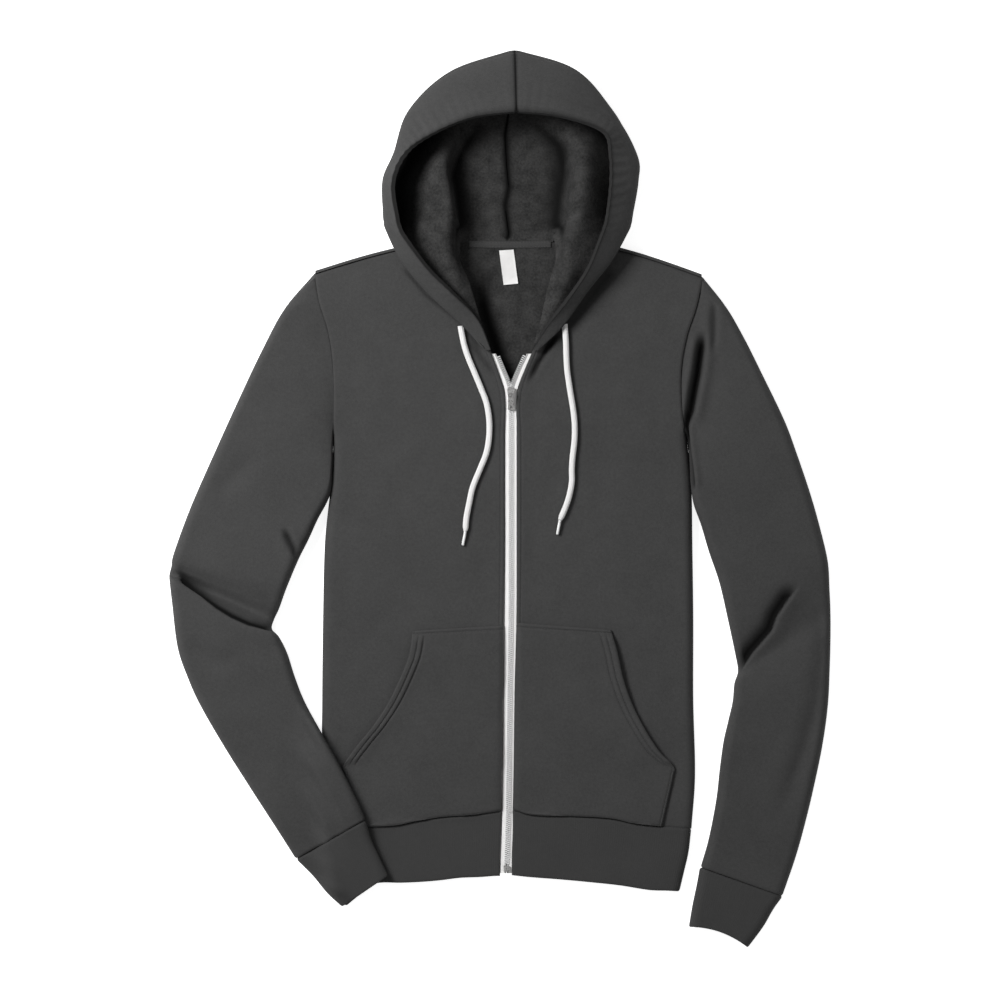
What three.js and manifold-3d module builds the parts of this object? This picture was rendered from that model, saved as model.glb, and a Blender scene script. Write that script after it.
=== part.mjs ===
// A zip up hoodie laid flat on its back, in millimetres, +Z up, floor at Z = 0.
// +Y runs from hem to hood and -X is the wearer's right. The origin is the middle of its outline.
import * as THREE from 'three';
import * as BufferGeometryUtils from 'three/addons/utils/BufferGeometryUtils.js';
import Module from 'manifold-3d';

const wasm = await Module();
wasm.setup();

// Driving dimensions
const WALL = 2.5; // sweatshirt fleece, one layer
const RIB_WALL = 3; // doubled rib of cuffs and waistband
const HEM_WALL = 4.5; // hood hem, folded over the drawcord
const HEM_REACH = 0.55; // share of the way from rim to bulge that the hood hem takes
const SEAM = 0.3; // parting between pieces sewn to each other
const EDGE_ROUND = 10; // how far a laid edge takes to round over
const SEAM_SHARE = 0.45; // height of a side seam, as a share of the loft
const FOLD_STEPS = 3; // steps in a rounded edge

const TAPE_WALL = 1; // zip tape
const CHAIN_HALF = 3.2; // half of the closed zip chain
const CHAIN_RISE = 3; // the chain stands this high over its tape
const TAPE_UNDER = 7; // zip tape hidden under each front
const TAPE_DROP = 3.6; // tape face below the cloth's face

const SLIDER = { x: 12.1, y: 117, wide: 8.6, long: 15, high: 2.6, lug: 1.4, pin: 0.8, pinUp: 2.3 };
const STOP = { x: 7.3, y: -406, wide: 6.4, long: 7, high: 1.6 };
const PULL = { wide: 6.4, long: 17, thick: 1.3, barrel: 1.9, bore: 1.15, barrelWide: 4.4, tilt: 12 };

const CORD = { diameter: 6.2, tip: 3.2 };
const COLOURS = { cloth: 0x464646, rib: 0x414141, white: 0xe9e9e6, nickel: 0xc9c7c2 };

// A table: named columns, then a row for each section
function table(columns, rows) {
  const names = columns.split(' ');
  return rows.map((row) => Object.fromEntries(names.map((name, i) => [name, row[i]])));
}

// Front panels: a row for each rung from the zip or neckline (in) out to the side or armhole (out).
// The first row is the hem seam, the seventh the underarm, the last the shoulder seam.
const FRONT_COLUMNS = 'inX inY outX outY high rounds';
const FRONT_RIGHT = table(FRONT_COLUMNS, [
  [2, -343, -191, -362, 12, 1],
  [2, -286, -196, -302, 14, 1],
  [3, -209, -196, -220, 16, 1],
  [4, -132, -195, -132, 18, 1],
  [5, -55, -193, -50, 18, 1],
  [5, 11, -187, 11, 18, 1],
  [5, 68, -184, 51, 18, 1],
  [5, 117, -183, 88, 18, 0],
  [-13, 162, -183, 127, 18, 0],
  [-22, 196, -185, 160, 18, 0],
  [-32, 228, -190, 189, 18, 0],
  [-44, 257, -199, 218, 17, 0],
  [-58, 285, -204, 248, 13, 0],
]);
const FRONT_LEFT = table(FRONT_COLUMNS, [
  [14, -342, 211, -362, 12, 1],
  [15, -286, 215, -302, 14, 1],
  [16, -209, 213, -220, 16, 1],
  [18, -132, 213, -132, 18, 1],
  [19, -55, 212, -50, 18, 1],
  [19, 11, 211, 11, 18, 1],
  [19, 66, 207, 57, 18, 1],
  [19, 117, 202, 82, 18, 0],
  [38, 161, 199, 119, 18, 0],
  [51, 195, 200, 150, 18, 0],
  [63, 229, 206, 182, 18, 0],
  [73, 257, 216, 212, 17, 0],
  [81, 286, 223, 244, 13, 0],
]);
const UNDERARM = 6; // row of both tables
const SHOULDER = 12;

// Sleeves: a row for each section from just past the armhole to the cuff seam. Bow bends a section's
// line towards the body. The dip rows are the fold that the forearm makes over the elbow.
const TUBE_COLUMNS = 'outX outY inX inY high bow';
const SLEEVE_RIGHT = table(TUBE_COLUMNS, [
  [-237, 211, -188, 34, 20, 8],
  [-262, 165, -192, 6, 23, 5],
  [-288, 110, -201, -22, 25, 2],
  [-317, 46, -211, -44, 26, 0],
  [-341, -9, -222, -66, 26, 0],
  [-359, -58, -235, -97, 25, 0],
  [-362, -73, -243, -119, 19, 0],
  [-364, -81, -249, -132, 14, 0],
  [-364, -88, -251, -142, 25, 0],
  [-361, -114, -243, -151, 29, 0],
  [-355, -162, -234, -169, 28, 0],
  [-344, -195, -226, -194, 27, 0],
  [-330, -226, -215, -222, 26, 0],
  [-304, -271, -196, -256, 25, 0],
  [-275, -317, -176, -292, 24, 0],
  [-244, -365, -157, -330, 22, 0],
  [-225, -395, -148, -351, 19, 0],
]);
const SLEEVE_LEFT = table(TUBE_COLUMNS, [
  [243, 215, 212, 50, 20, -9],
  [265, 180, 214, 34, 23, -5],
  [292, 138, 216, 18, 25, -3],
  [311, 88, 219, -4, 26, 0],
  [327, 52, 224, -28, 26, 0],
  [342, 6, 232, -57, 26, 0],
  [353, -33, 244, -91, 26, 0],
  [361, -68, 254, -132, 25, 0],
  [363, -99, 261, -167, 21, 0],
  [364, -123, 264, -188, 19, 0],
  [364, -150, 258, -202, 24, 0],
  [363, -187, 256, -222, 27, 0],
  [361, -226, 251, -244, 27, 0],
  [355, -270, 246, -266, 27, 0],
  [346, -314, 242, -295, 26, 0],
  [337, -352, 238, -330, 25, 0],
  [326, -392, 230, -372, 22, 0],
  [311, -436, 221, -404, 19, 0],
]);
const CUFF_RIGHT = table(TUBE_COLUMNS, [
  [-224, -396, -148, -352, 18, 0],
  [-206, -414, -141, -374, 18, 0],
  [-190, -433, -131, -396, 17, 0],
  [-174, -448, -123, -413, 16, 0],
]);
const CUFF_LEFT = table(TUBE_COLUMNS, [
  [311, -437, 220, -405, 18, 0],
  [301, -451, 217, -422, 18, 0],
  [290, -470, 212, -446, 17, -3],
  [273, -493, 208, -470, 16, -6],
]);
const LIFT = {
  reach: 18,
  gap: 0.8,
  share: 0.75,
  hemReach: 16,
  pocketX: -186,
  pocketY: -372,
  pocket: 3.2,
  crossesBelow: -150,
};

// Waistband: a row from the hem seam to the lower edge. Sags bow the front's edge and the back's
// edge rises behind it, so that the front hides it.
const BAND_COLUMNS = [
  'zipRightX zipRightY rightX rightY leftX leftY zipLeftX zipLeftY sagRight sagLeft backRise high',
].join(' ');
const BAND = table(BAND_COLUMNS, [
  [2, -343.3, -191, -362.3, 211, -362.3, 14, -342.3, 0, 0, 0, 12],
  [1, -368, -189, -388, 208, -388, 14, -366, 1, 1, 10, 12],
  [0, -391, -185, -410, 203, -410, 13, -389, 3, 1, 18, 11.5],
  [0, -413, -179, -431, 198, -431, 13, -412, 6, 2, 26, 11],
]);

// Pockets: a row from the hem seam to the top edge, out at the hand opening
const POCKET_COLUMNS = 'inX inY outX outY';
const POCKET_RIGHT = table(POCKET_COLUMNS, [
  [1.5, -342, -161, -359],
  [2, -302, -170, -305],
  [3, -288, -172, -292],
  [3, -270, -157, -270],
  [3, -249, -140, -249],
  [3, -223, -123, -223],
  [4, -194, -109, -194],
  [4, -170, -100, -170],
  [4, -138, -96, -144],
]);
const POCKET_LEFT = table(POCKET_COLUMNS, [
  [14.5, -341, 178, -358],
  [15, -306, 190, -306],
  [15, -288, 191, -293],
  [16, -276, 175, -276],
  [16, -253, 160, -253],
  [17, -228, 147, -228],
  [18, -198, 136, -198],
  [18, -167, 129, -167],
  [18, -135, 122, -143],
]);

// Hood halves: a row for each section from the neck seam's front up to the crown seam. Each runs from
// the rim over the bulge, under to the floor, over the inner fold and its foot to the neck or back seam.
const HOOD_COLUMNS = [
  'rimX rimY rimZ bulgeX bulgeY bulgeZ underX underY underZ',
  'foldX foldY foldZ footX footY footZ endX endY endZ',
].join(' ');
const HOOD_RIGHT = table(HOOD_COLUMNS, [
  [-10, 165, 25, -18, 165.5, 24.6, -16.5, 170, 23, -14.5, 172, 22.4, -13, 171.5, 22, -12, 171, 21.8],
  [-25, 199, 33, -43, 193, 28, -39, 200, 22, -33, 206, 24, -28, 206, 22.5, -24, 202, 21],
  [-53, 227, 45, -79, 227, 34, -71, 234, 22, -50, 242, 31, -37, 239, 24, -34, 233, 21],
  [-79, 252, 51, -108, 262, 36, -98, 266, 22, -60, 273, 36, -48, 266, 23, -45, 260, 20],
  [-105, 286, 55, -125, 295, 34, -112, 293, 10, -61, 301, 40, -50, 294, 18, -44, 289, 13],
  [-111, 297, 56, -128, 306, 34, -113, 305, 4, -58, 309, 40, -47, 301, 5, -41, 288, 2],
  [-114, 308, 57, -129, 317, 34, -113, 317, 0, -58, 319, 40, -45, 309, 3, 8, 287.3, 0],
  [-119, 345, 59, -129, 352, 35, -113, 348, 0, -60, 344, 40, -47, 337, 1, 8, 324, 0],
  [-108, 376, 60, -117, 381, 36, -101, 376, 0, -63, 367, 34, -50, 361, 0, 8, 358, 0],
  [-82, 397, 64, -101, 427, 38, -82, 418, 0, -57, 396, 16, -37, 391, 0, 8, 391, 0],
  [-33, 418, 70, -49, 472, 42, -43, 455, 0, -33, 427, 4, -16, 420, 0, 9, 413, 0],
  [18, 425, 72, 16, 493, 44, 14, 475, 0, 13, 453, 0, 11, 446, 0, 10, 431, 0],
]);
const HOOD_LEFT = table(HOOD_COLUMNS, [
  [35, 164, 25, 43, 165.5, 24.6, 41.5, 170, 23, 39.5, 172, 22.4, 38.5, 171.5, 22, 37.5, 171, 21.8],
  [52, 190, 34, 70, 191.5, 28.5, 64, 199, 22, 57, 207, 25, 51, 206, 22.5, 47, 205, 21],
  [75, 219, 45, 97, 229, 34, 89, 237, 22, 73, 245, 31, 58, 239, 24, 55, 233, 21],
  [97, 252, 51, 122, 261, 36, 113, 266, 22, 79, 275, 34, 66, 266, 23, 63, 260, 20],
  [111, 286, 55, 140, 293, 34, 126, 293, 10, 86, 302, 36, 70, 294, 18, 60, 289, 13],
  [115, 297, 56, 144, 303, 34, 129, 303, 4, 86, 310, 36, 67, 301, 5, 56, 288, 2],
  [118, 308, 57, 146, 314, 34, 130, 314, 0, 88, 319, 36, 63, 308, 3, 8, 287.3, 0],
  [122, 341, 59, 152, 350, 35, 134, 345, 0, 90, 345, 36, 66, 336, 1, 8, 324, 0],
  [122, 376, 60, 151, 378, 36, 134, 374, 0, 92, 374, 31, 70, 363, 0, 8, 358, 0],
  [114, 404, 64, 127, 423, 38, 112, 416, 0, 88, 398, 16, 64, 391, 0, 8, 391, 0],
  [66, 420, 70, 76, 474, 42, 66, 455, 0, 53, 427, 4, 35, 420, 0, 9, 413, 0],
  [18, 425, 72, 16, 493, 44, 14, 475, 0, 13, 453, 0, 11, 446, 0, 10, 431, 0],
]);
const HOOD_POINTS = ['rim', 'bulge', 'under', 'fold', 'foot', 'end'];
const BACK_SEAM_ROW = 6; // from this row on, a hood section ends on the centre back seam
const HOOD_TIP = { wall: 2, rows: 1.2 }; // the hood's walls thin towards its two front tips

// Zip: a row for each place down the chain, where the two tapes' inner edges run
const ZIP = table('y rightX leftX', [
  [-411, 7, 7],
  [-352, 9, 9],
  [-264, 10, 10],
  [-110, 12, 12],
  [60, 12, 12],
  [120, 12, 12],
  [132, 8, 16],
  [146, 2, 22],
  [161, -4, 29],
]);

// Drawcords: hand placed points down each fall
const CORD_COLUMNS = 'x y';
const CORD_RIGHT = table(CORD_COLUMNS, [
  [-42.5, 187],
  [-39.5, 171],
  [-35, 157],
  [-28, 140],
  [-21, 123],
  [-15, 107],
  [-12, 89],
  [-12, 70],
  [-15, 52],
  [-22, 34],
  [-30, 14],
  [-34, -4],
  [-37, -20],
  [-38, -34],
]);
const CORD_LEFT = table(CORD_COLUMNS, [
  [71.5, 189],
  [72.5, 174],
  [73, 158],
  [74, 142],
  [77, 121],
  [80, 103],
  [82, 85],
  [82, 67],
  [80, 48],
  [79, 34],
  [79, 20],
  [76, 4],
  [72, -8],
  [66, -22],
]);
const TIP_END = { right: [-41, -50], left: [63, -38] };

// Number helpers
const mix = (a, b, f) => a + (b - a) * f;
const share = (f) => Math.min(1, Math.max(0, f));
const smooth = (f) => share(f) ** 2 * (3 - 2 * share(f));

// A smooth curve through a table's rows, column by column, at a row number with a fraction
function along(rows, at) {
  const i = Math.min(rows.length - 2, Math.max(0, Math.floor(at)));
  const f = at - i;
  const [p, a, b, n] = [rows[Math.max(0, i - 1)], rows[i], rows[i + 1], rows[Math.min(rows.length - 1, i + 2)]];
  const out = {};
  for (const key of Object.keys(a)) {
    const m0 = i === 0 ? b[key] - a[key] : (b[key] - p[key]) / 2;
    const m1 = i === rows.length - 2 ? b[key] - a[key] : (n[key] - a[key]) / 2;
    const d = b[key] - a[key];
    out[key] = a[key] + f * (m0 + f * (3 * d - 2 * m0 - m1 + f * (m0 + m1 - 2 * d)));
  }
  return out;
}

const steps = (count) => Array.from({ length: count + 1 }, (_, i) => i / count);

// A cloth wall: a grid of outer points with its thickness laid to the inside
function wall(grid, thick, { closed = false, flip = false, lean = () => null } = {}) {
  const rows = grid.length;
  const cols = grid[0].length;
  const point = (i, j) => grid[i][closed ? (j + cols) % cols : Math.min(cols - 1, Math.max(0, j))];
  const inner = grid.map((row, i) =>
    row.map((p, j) => {
      const du = point(Math.min(rows - 1, i + 1), j).clone().sub(point(Math.max(0, i - 1), j));
      const dv = point(i, j + 1).clone().sub(point(i, j - 1));
      const normal = lean(i, j) ?? du.cross(dv).normalize().multiplyScalar(flip ? -1 : 1);
      const depth = typeof thick === 'function' ? thick(i, j) : thick;
      return p.clone().addScaledVector(normal, depth);
    }),
  );
  const points = [...grid.flat(), ...inner.flat()];
  const id = (side, i, j) => side * rows * cols + i * cols + (closed ? j % cols : j);
  const faces = [];
  const quad = (a, b, c, d) => faces.push(a, b, c, a, c, d);
  const spans = closed ? cols : cols - 1;
  for (let i = 0; i < rows - 1; i += 1) {
    for (let j = 0; j < spans; j += 1) {
      quad(id(0, i, j), id(0, i, j + 1), id(0, i + 1, j + 1), id(0, i + 1, j));
      quad(id(1, i, j), id(1, i + 1, j), id(1, i + 1, j + 1), id(1, i, j + 1));
    }
    if (!closed) {
      quad(id(0, i, 0), id(0, i + 1, 0), id(1, i + 1, 0), id(1, i, 0));
      quad(id(0, i + 1, spans), id(0, i, spans), id(1, i, spans), id(1, i + 1, spans));
    }
  }
  for (let j = 0; j < spans; j += 1) {
    quad(id(0, 0, j + 1), id(0, 0, j), id(1, 0, j), id(1, 0, j + 1));
    quad(id(0, rows - 1, j), id(0, rows - 1, j + 1), id(1, rows - 1, j + 1), id(1, rows - 1, j));
  }
  return outward(points, faces);
}

// One closed body from points and faces, turned so that its faces point out
function outward(points, faces) {
  let volume = 0;
  for (let i = 0; i < faces.length; i += 3) {
    const [a, b, c] = [points[faces[i]], points[faces[i + 1]], points[faces[i + 2]]];
    volume += a.dot(b.clone().cross(c));
  }
  const order = volume < 0 ? faces.slice().reverse() : faces;
  const geometry = new THREE.BufferGeometry();
  geometry.setAttribute('position', new THREE.Float32BufferAttribute(points.flatMap((p) => p.toArray()), 3));
  geometry.setIndex(order);
  return geometry;
}

const V = (x, y, z) => new THREE.Vector3(x, y, z);
const DOWN = V(0, 0, -1);
const UP = V(0, 0, 1);
const roundShare = (k) => 1 - Math.cos((k / FOLD_STEPS) * (Math.PI / 2));
const roundRise = (k) => Math.sin((k / FOLD_STEPS) * (Math.PI / 2));

// The point of a front panel's face at row t and a distance in from its outer edge
function frontPoint(rows, t, inset, rise) {
  const r = along(rows, t);
  const width = Math.hypot(r.inX - r.outX, r.inY - r.outY);
  const f = inset / width;
  const edge = mix(r.high, mix(SEAM_SHARE * r.high, r.high, rise), share(r.rounds));
  return V(mix(r.outX, r.inX, f), mix(r.outY, r.inY, f), edge);
}

// Stations of a front panel, from the side in to the zip
function frontRow(rows, t, flats) {
  const r = along(rows, t);
  const width = Math.hypot(r.inX - r.outX, r.inY - r.outY);
  const round = steps(FOLD_STEPS).map((_, k) => frontPoint(rows, t, EDGE_ROUND * roundShare(k), roundRise(k)));
  const flat = steps(flats).slice(1).map((f) => frontPoint(rows, t, mix(EDGE_ROUND, width, f), 1));
  return [...round, ...flat];
}

// Height of the body's upper face under a point, found between the rungs of one front
function faceHeight(rows, x, y) {
  const side = (t) => {
    const r = along(rows, t);
    return (r.outX - r.inX) * (y - r.inY) - (r.outY - r.inY) * (x - r.inX);
  };
  let [low, high] = [0, rows.length - 1];
  const sign = Math.sign(side(low)) || 1;
  for (let n = 0; n < 22; n += 1) {
    const middle = (low + high) / 2;
    if (side(middle) * sign > 0) low = middle;
    else high = middle;
  }
  return along(rows, low).high;
}

const FRONT_STEPS = 2; // points between two rungs
const rungs = (from, to, per) => steps((to - from) * per).map((f) => mix(from, to, f));

function frontPanel(rows, sideways) {
  const grid = rungs(0, SHOULDER, FRONT_STEPS).map((t) => frontRow(rows, t, 7));
  const last = grid.length - 1;
  const lean = (i, j) => {
    if (j === 0 && i <= UNDERARM * FRONT_STEPS) return V(sideways, 0, 0);
    return j === 0 || i === last || i === 0 ? DOWN : null;
  };
  return wall(grid, WALL, { flip: sideways < 0, lean });
}

// The shoulder line of the back panel, over the neck between the two high points
const NECK_Y = 284.9;
function shoulderLine(x) {
  const [r, l] = [FRONT_RIGHT[SHOULDER], FRONT_LEFT[SHOULDER]];
  if (x < r.inX) return mix(r.outY, r.inY, (x - r.outX) / (r.inX - r.outX));
  if (x > l.inX) return mix(l.outY, l.inY, (l.outX - x) / (l.outX - l.inX));
  return NECK_Y;
}

// Rows past the last rung: how far short of the shoulder seam, the same at the neck, and the height
const SHOULDER_FOLD = table('inset neckInset z', [
  [9, 8, 0],
  [3, 5, 0.4],
  [-2, 3.5, 2.6],
  [-4, 2.2, 6.5],
  [-4.2, 0.6, 10.4],
  [-4 * SEAM, -SEAM, 13],
]);
const TIP_SHY = 0.3; // the fold starts this share of a rung short of the shoulder tip
const NECK_BLEND = 14; // how far from the neck point the shoulder fold takes to flatten

function backPanel() {
  const flats = 14;
  const across = (t) => {
    const [r, l] = [along(FRONT_RIGHT, t), along(FRONT_LEFT, t)];
    const width = l.outX - r.outX;
    const left = steps(FOLD_STEPS).map((_, k) => [EDGE_ROUND * roundShare(k), roundRise(k)]);
    const flat = steps(flats).slice(1, -1).map((f) => [mix(EDGE_ROUND, width - EDGE_ROUND, f), 1]);
    const right = left.map(([d, rise]) => [width - d, rise]).reverse();
    return [...left, ...flat, ...right].map(([d, rise]) => {
      const f = d / width;
      const seam = SEAM_SHARE * r.high - SEAM;
      return V(mix(r.outX, l.outX, f), mix(r.outY, l.outY, f), seam * (1 - rise) * share(r.rounds));
    });
  };
  const grid = rungs(0, SHOULDER - 1, FRONT_STEPS).map(across);
  const top = across(SHOULDER - TIP_SHY);
  for (const fold of SHOULDER_FOLD) {
    grid.push(top.map((p) => {
      const beyond = Math.max(FRONT_RIGHT[SHOULDER].inX - p.x, p.x - FRONT_LEFT[SHOULDER].inX);
      const folded = smooth(beyond / NECK_BLEND);
      return V(p.x, shoulderLine(p.x) - mix(fold.neckInset, fold.inset, folded), fold.z * folded);
    }));
  }
  const [lastRow, lastCol] = [grid.length - 1, grid[0].length - 1];
  const armhole = UNDERARM * FRONT_STEPS;
  const lean = (i, j) => {
    const p = grid[i][j];
    const turn = (p.z / SHOULDER_FOLD[SHOULDER_FOLD.length - 1].z) * Math.PI;
    if (i === lastRow) return V(0, -Math.sin(turn), Math.cos(turn));
    if (i <= armhole && (j === 0 || j === lastCol)) return V(j === 0 ? 1 : -1, 0, 0);
    if (i === 0 || p.z < 0.05) return UP;
    return null;
  };
  return wall(grid, WALL, { flip: true, lean });
}

// A laid sleeve or cuff section: round at both ends, its underside lifted off the body where it crosses it
const TUBE_FLATS = 6;
const tubeStations = (width) => {
  const round = steps(FOLD_STEPS).map((_, k) => [(EDGE_ROUND * roundShare(k)) / width, roundRise(k)]);
  const flat = steps(TUBE_FLATS).slice(1, -1).map((f) => [mix(EDGE_ROUND, width - EDGE_ROUND, f) / width, 1]);
  return [...round, ...flat, ...round.map(([q, rise]) => [1 - q, rise]).reverse()];
};
const CROTCH = tubeStations(1).length - 1; // the station at the inner edge, the same for any width
const [BAND_TOP, BAND_FOOT] = [BAND[0], BAND[BAND.length - 1]];

function liftAt(x, y) {
  const rows = FRONT_RIGHT;
  const t = steps(60).map((f) => f * UNDERARM).find((v) => along(rows, v).outY > y) ?? 0;
  const upBand = (y - BAND_FOOT.rightY) / (BAND_TOP.rightY - BAND_FOOT.rightY);
  const beside = mix(BAND_FOOT.rightX, BAND_TOP.rightX, upBand);
  const sideX = y < BAND_TOP.rightY ? beside : along(rows, t).outX;
  const over = smooth((x - (sideX - LIFT.reach)) / (LIFT.reach - 2));
  const hem = smooth((y - (BAND_FOOT.rightY - LIFT.hemReach)) / (LIFT.hemReach - 4));
  const onPocket = smooth((x - LIFT.pocketX) / 10) * smooth((y - LIFT.pocketY) / 8);
  const high = along(rows, t).high + LIFT.gap + LIFT.pocket * onPocket;
  return y > LIFT.crossesBelow ? 0 : over * hem * high;
}

function tubeRing(row, lifted) {
  const [o, i] = [V(row.outX, row.outY, 0), V(row.inX, row.inY, 0)];
  const width = o.distanceTo(i);
  const side = V(i.y - o.y, o.x - i.x, 0).normalize();
  const level = tubeStations(width).map(([q, rise]) => {
    const plan = o.clone().lerp(i, q).addScaledVector(side, -row.bow * 4 * q * (1 - q));
    const low = lifted ? liftAt(plan.x, plan.y) : 0;
    return { plan, low, top: low * LIFT.share + row.high, rise };
  });
  const place = (s, z) => V(s.plan.x, s.plan.y, z);
  const middle = (s) => (s.low + s.top) / 2;
  const upper = level.map((s) => place(s, mix(middle(s), s.top, s.rise)));
  const lower = level.slice(1, -1).reverse().map((s) => place(s, mix(middle(s), s.low, s.rise)));
  return [...upper, ...lower];
}

// The ring that a sleeve starts with: the armhole's own line, just clear of the front and back
function armholeRing(rows, outwards) {
  const edge = steps(CROTCH).map((q) => {
    const r = along(rows, mix(SHOULDER, UNDERARM, q));
    const seam = SEAM_SHARE * r.high * share(r.rounds);
    return { x: r.outX + outwards * SEAM, y: r.outY, top: mix(r.high, seam, share(r.rounds)), low: seam };
  });
  const tip = edge[0];
  const upper = edge.map((e, k) => (k === 0 ? V(tip.x, tip.y + 3.5, 6.5) : V(e.x, e.y, e.top)));
  const lower = edge.slice(1, -1).reverse().map((e) => V(e.x, e.y, e.low));
  return [...upper, ...lower];
}

// Smooth steps between rings, point by point
function between(rings, per) {
  return rungs(0, rings.length - 1, per).map((t) => {
    const count = rings[0].length;
    return Array.from({ length: count }, (_, j) => {
      const p = along(rings.map((ring) => ({ x: ring[j].x, y: ring[j].y, z: ring[j].z })), t);
      return V(p.x, p.y, Math.max(0, p.z));
    });
  });
}

function sleeve(rows, front, outwards) {
  const rings = [armholeRing(front, outwards), ...rows.map((row) => tubeRing(row, outwards < 0))];
  const lean = (i, j) => {
    if (i > 0) return null;
    if (j === 0 || j === CROTCH) return V(0, j === 0 ? -1 : 1, 0);
    return j < CROTCH ? DOWN : UP;
  };
  return wall(between(rings, 1), WALL, { closed: true, flip: outwards < 0, lean });
}

function cuff(rows, outwards) {
  const rings = rows.map((row) => tubeRing(row, outwards < 0));
  return wall(between(rings, 2), RIB_WALL, { closed: true, flip: outwards < 0 });
}

// The waistband: one strip from the zip round the back to the zip
function waistband() {
  const bow = (a, b, f, sag) => V(mix(a[0], b[0], f), mix(a[1], b[1], f) + sag * 4 * f * (1 - f), 0);
  const grid = rungs(0, BAND.length - 1, 2).map((t) => {
    const r = along(BAND, t);
    const seam = SEAM_SHARE * r.high;
    const [zipR, sideR] = [[r.zipRightX, r.zipRightY], [r.rightX, r.rightY]];
    const [zipL, sideL] = [[r.zipLeftX, r.zipLeftY], [r.leftX, r.leftY]];
    const half = (side, zip, sag, flats) => {
      const width = Math.hypot(zip[0] - side[0], zip[1] - side[1]);
      const round = steps(FOLD_STEPS).map((_, k) => {
        const p = bow(side, zip, (EDGE_ROUND * roundShare(k)) / width, sag);
        return V(p.x, p.y, mix(seam, r.high, roundRise(k)));
      });
      const flat = steps(flats).slice(1).map((f) => {
        const p = bow(side, zip, mix(EDGE_ROUND, width, f) / width, sag);
        return V(p.x, p.y, r.high);
      });
      return [...round, ...flat];
    };
    const width = sideL[0] - sideR[0];
    const floor = steps(FOLD_STEPS).slice(1).map((_, k) => [EDGE_ROUND * roundShare(k + 1), roundRise(k + 1)]);
    const under = [
      ...floor.map(([d, rise]) => [d, rise]),
      ...steps(8).slice(1, -1).map((f) => [mix(EDGE_ROUND, width - EDGE_ROUND, f), 1]),
      ...floor.map(([d, rise]) => [width - d, rise]).reverse(),
    ].map(([d, rise]) => {
      const p = bow(sideR, sideL, d / width, r.backRise);
      return V(p.x, p.y, seam * (1 - rise));
    });
    return [...half(sideR, zipR, r.sagRight, 4).reverse(), ...under, ...half(sideL, zipL, r.sagLeft, 4)];
  });
  const lean = (i, j) => (j === 0 || j === grid[0].length - 1 ? DOWN : null);
  return wall(grid, RIB_WALL, { flip: false, lean });
}

// Something flat sewn on a front: its underside follows the panel's face
function patch(rows, front, across, thick, raise = SEAM) {
  const grid = rungs(0, rows.length - 1, 1).map((t) => {
    const r = along(rows, t);
    return steps(across).map((f) => {
      const [x, y] = [mix(r.outX, r.inX, f), mix(r.outY, r.inY, f)];
      return V(x, y, faceHeight(front, x, y) + raise);
    });
  });
  return wall(grid, thick, { lean: () => UP });
}

// One hood half: sections from rim to neck or back seam, thicker along the hem
const HOOD_ACROSS = 4; // points between two named places of a section
function hoodSection(rows, t, side) {
  const r = along(rows, t);
  const stops = HOOD_POINTS.map((name) => ({ x: r[`${name}X`], y: r[`${name}Y`], z: r[`${name}Z`] }));
  if (t > BACK_SEAM_ROW) {
    const below = Math.min(rows.length - 2, Math.floor(t));
    stops[stops.length - 1].x = mix(rows[below].endX, rows[below + 1].endX, t - below);
  }
  return rungs(0, stops.length - 1, HOOD_ACROSS).map((s) => {
    const p = along(stops, s);
    const onTopSeam = t > rows.length - 1.01;
    const onBackSeam = s > stops.length - 1.01 && t > BACK_SEAM_ROW - 0.01;
    const parted = onTopSeam || onBackSeam ? side * SEAM / 2 : 0;
    return V(p.x + parted, p.y, Math.max(0, p.z));
  });
}

function hoodHalf(rows, side) {
  const grid = rungs(0, rows.length - 1, 2).map((t) => hoodSection(rows, t, side));
  const [lastRow, lastCol] = [grid.length - 1, grid[0].length - 1];
  const thick = (i, j) => {
    const full = mix(HEM_WALL, WALL, smooth((j / HOOD_ACROSS - HEM_REACH) * 4));
    return mix(HOOD_TIP.wall, full, smooth(i / 2 / HOOD_TIP.rows));
  };
  const point = (i, j) => grid[Math.min(lastRow, Math.max(0, i))][Math.min(lastCol, Math.max(0, j))];
  const lean = (i, j) => {
    const n = point(i + 1, j).clone().sub(point(i - 1, j)).cross(point(i, j + 1).clone().sub(point(i, j - 1)));
    n.multiplyScalar(side).normalize();
    if (j === lastCol && i >= BACK_SEAM_ROW * 2) return UP;
    return i === lastRow ? n.setX(0).normalize() : n;
  };
  return wall(grid, thick, { lean });
}

// One zip tape with its half of the chain standing on its inner edge
const TAPE_SHOWS = 6.7; // width of tape that the front leaves bare
const OPEN_TAPE = { fromY: 120, wide: 15 };
const IN_ON_CLOTH = 8; // how far in from the zip the cloth's height is taken
const downBand = (y) => share((BAND_TOP.zipRightY - y) / (BAND_TOP.zipRightY - BAND_FOOT.zipRightY));
const bandHigh = (y) => mix(BAND_TOP.high, BAND_FOOT.high, downBand(y));
const clothHigh = (front, x, y) => (y < BAND_TOP.zipRightY ? bandHigh(y) : faceHeight(front, x, y));

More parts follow.
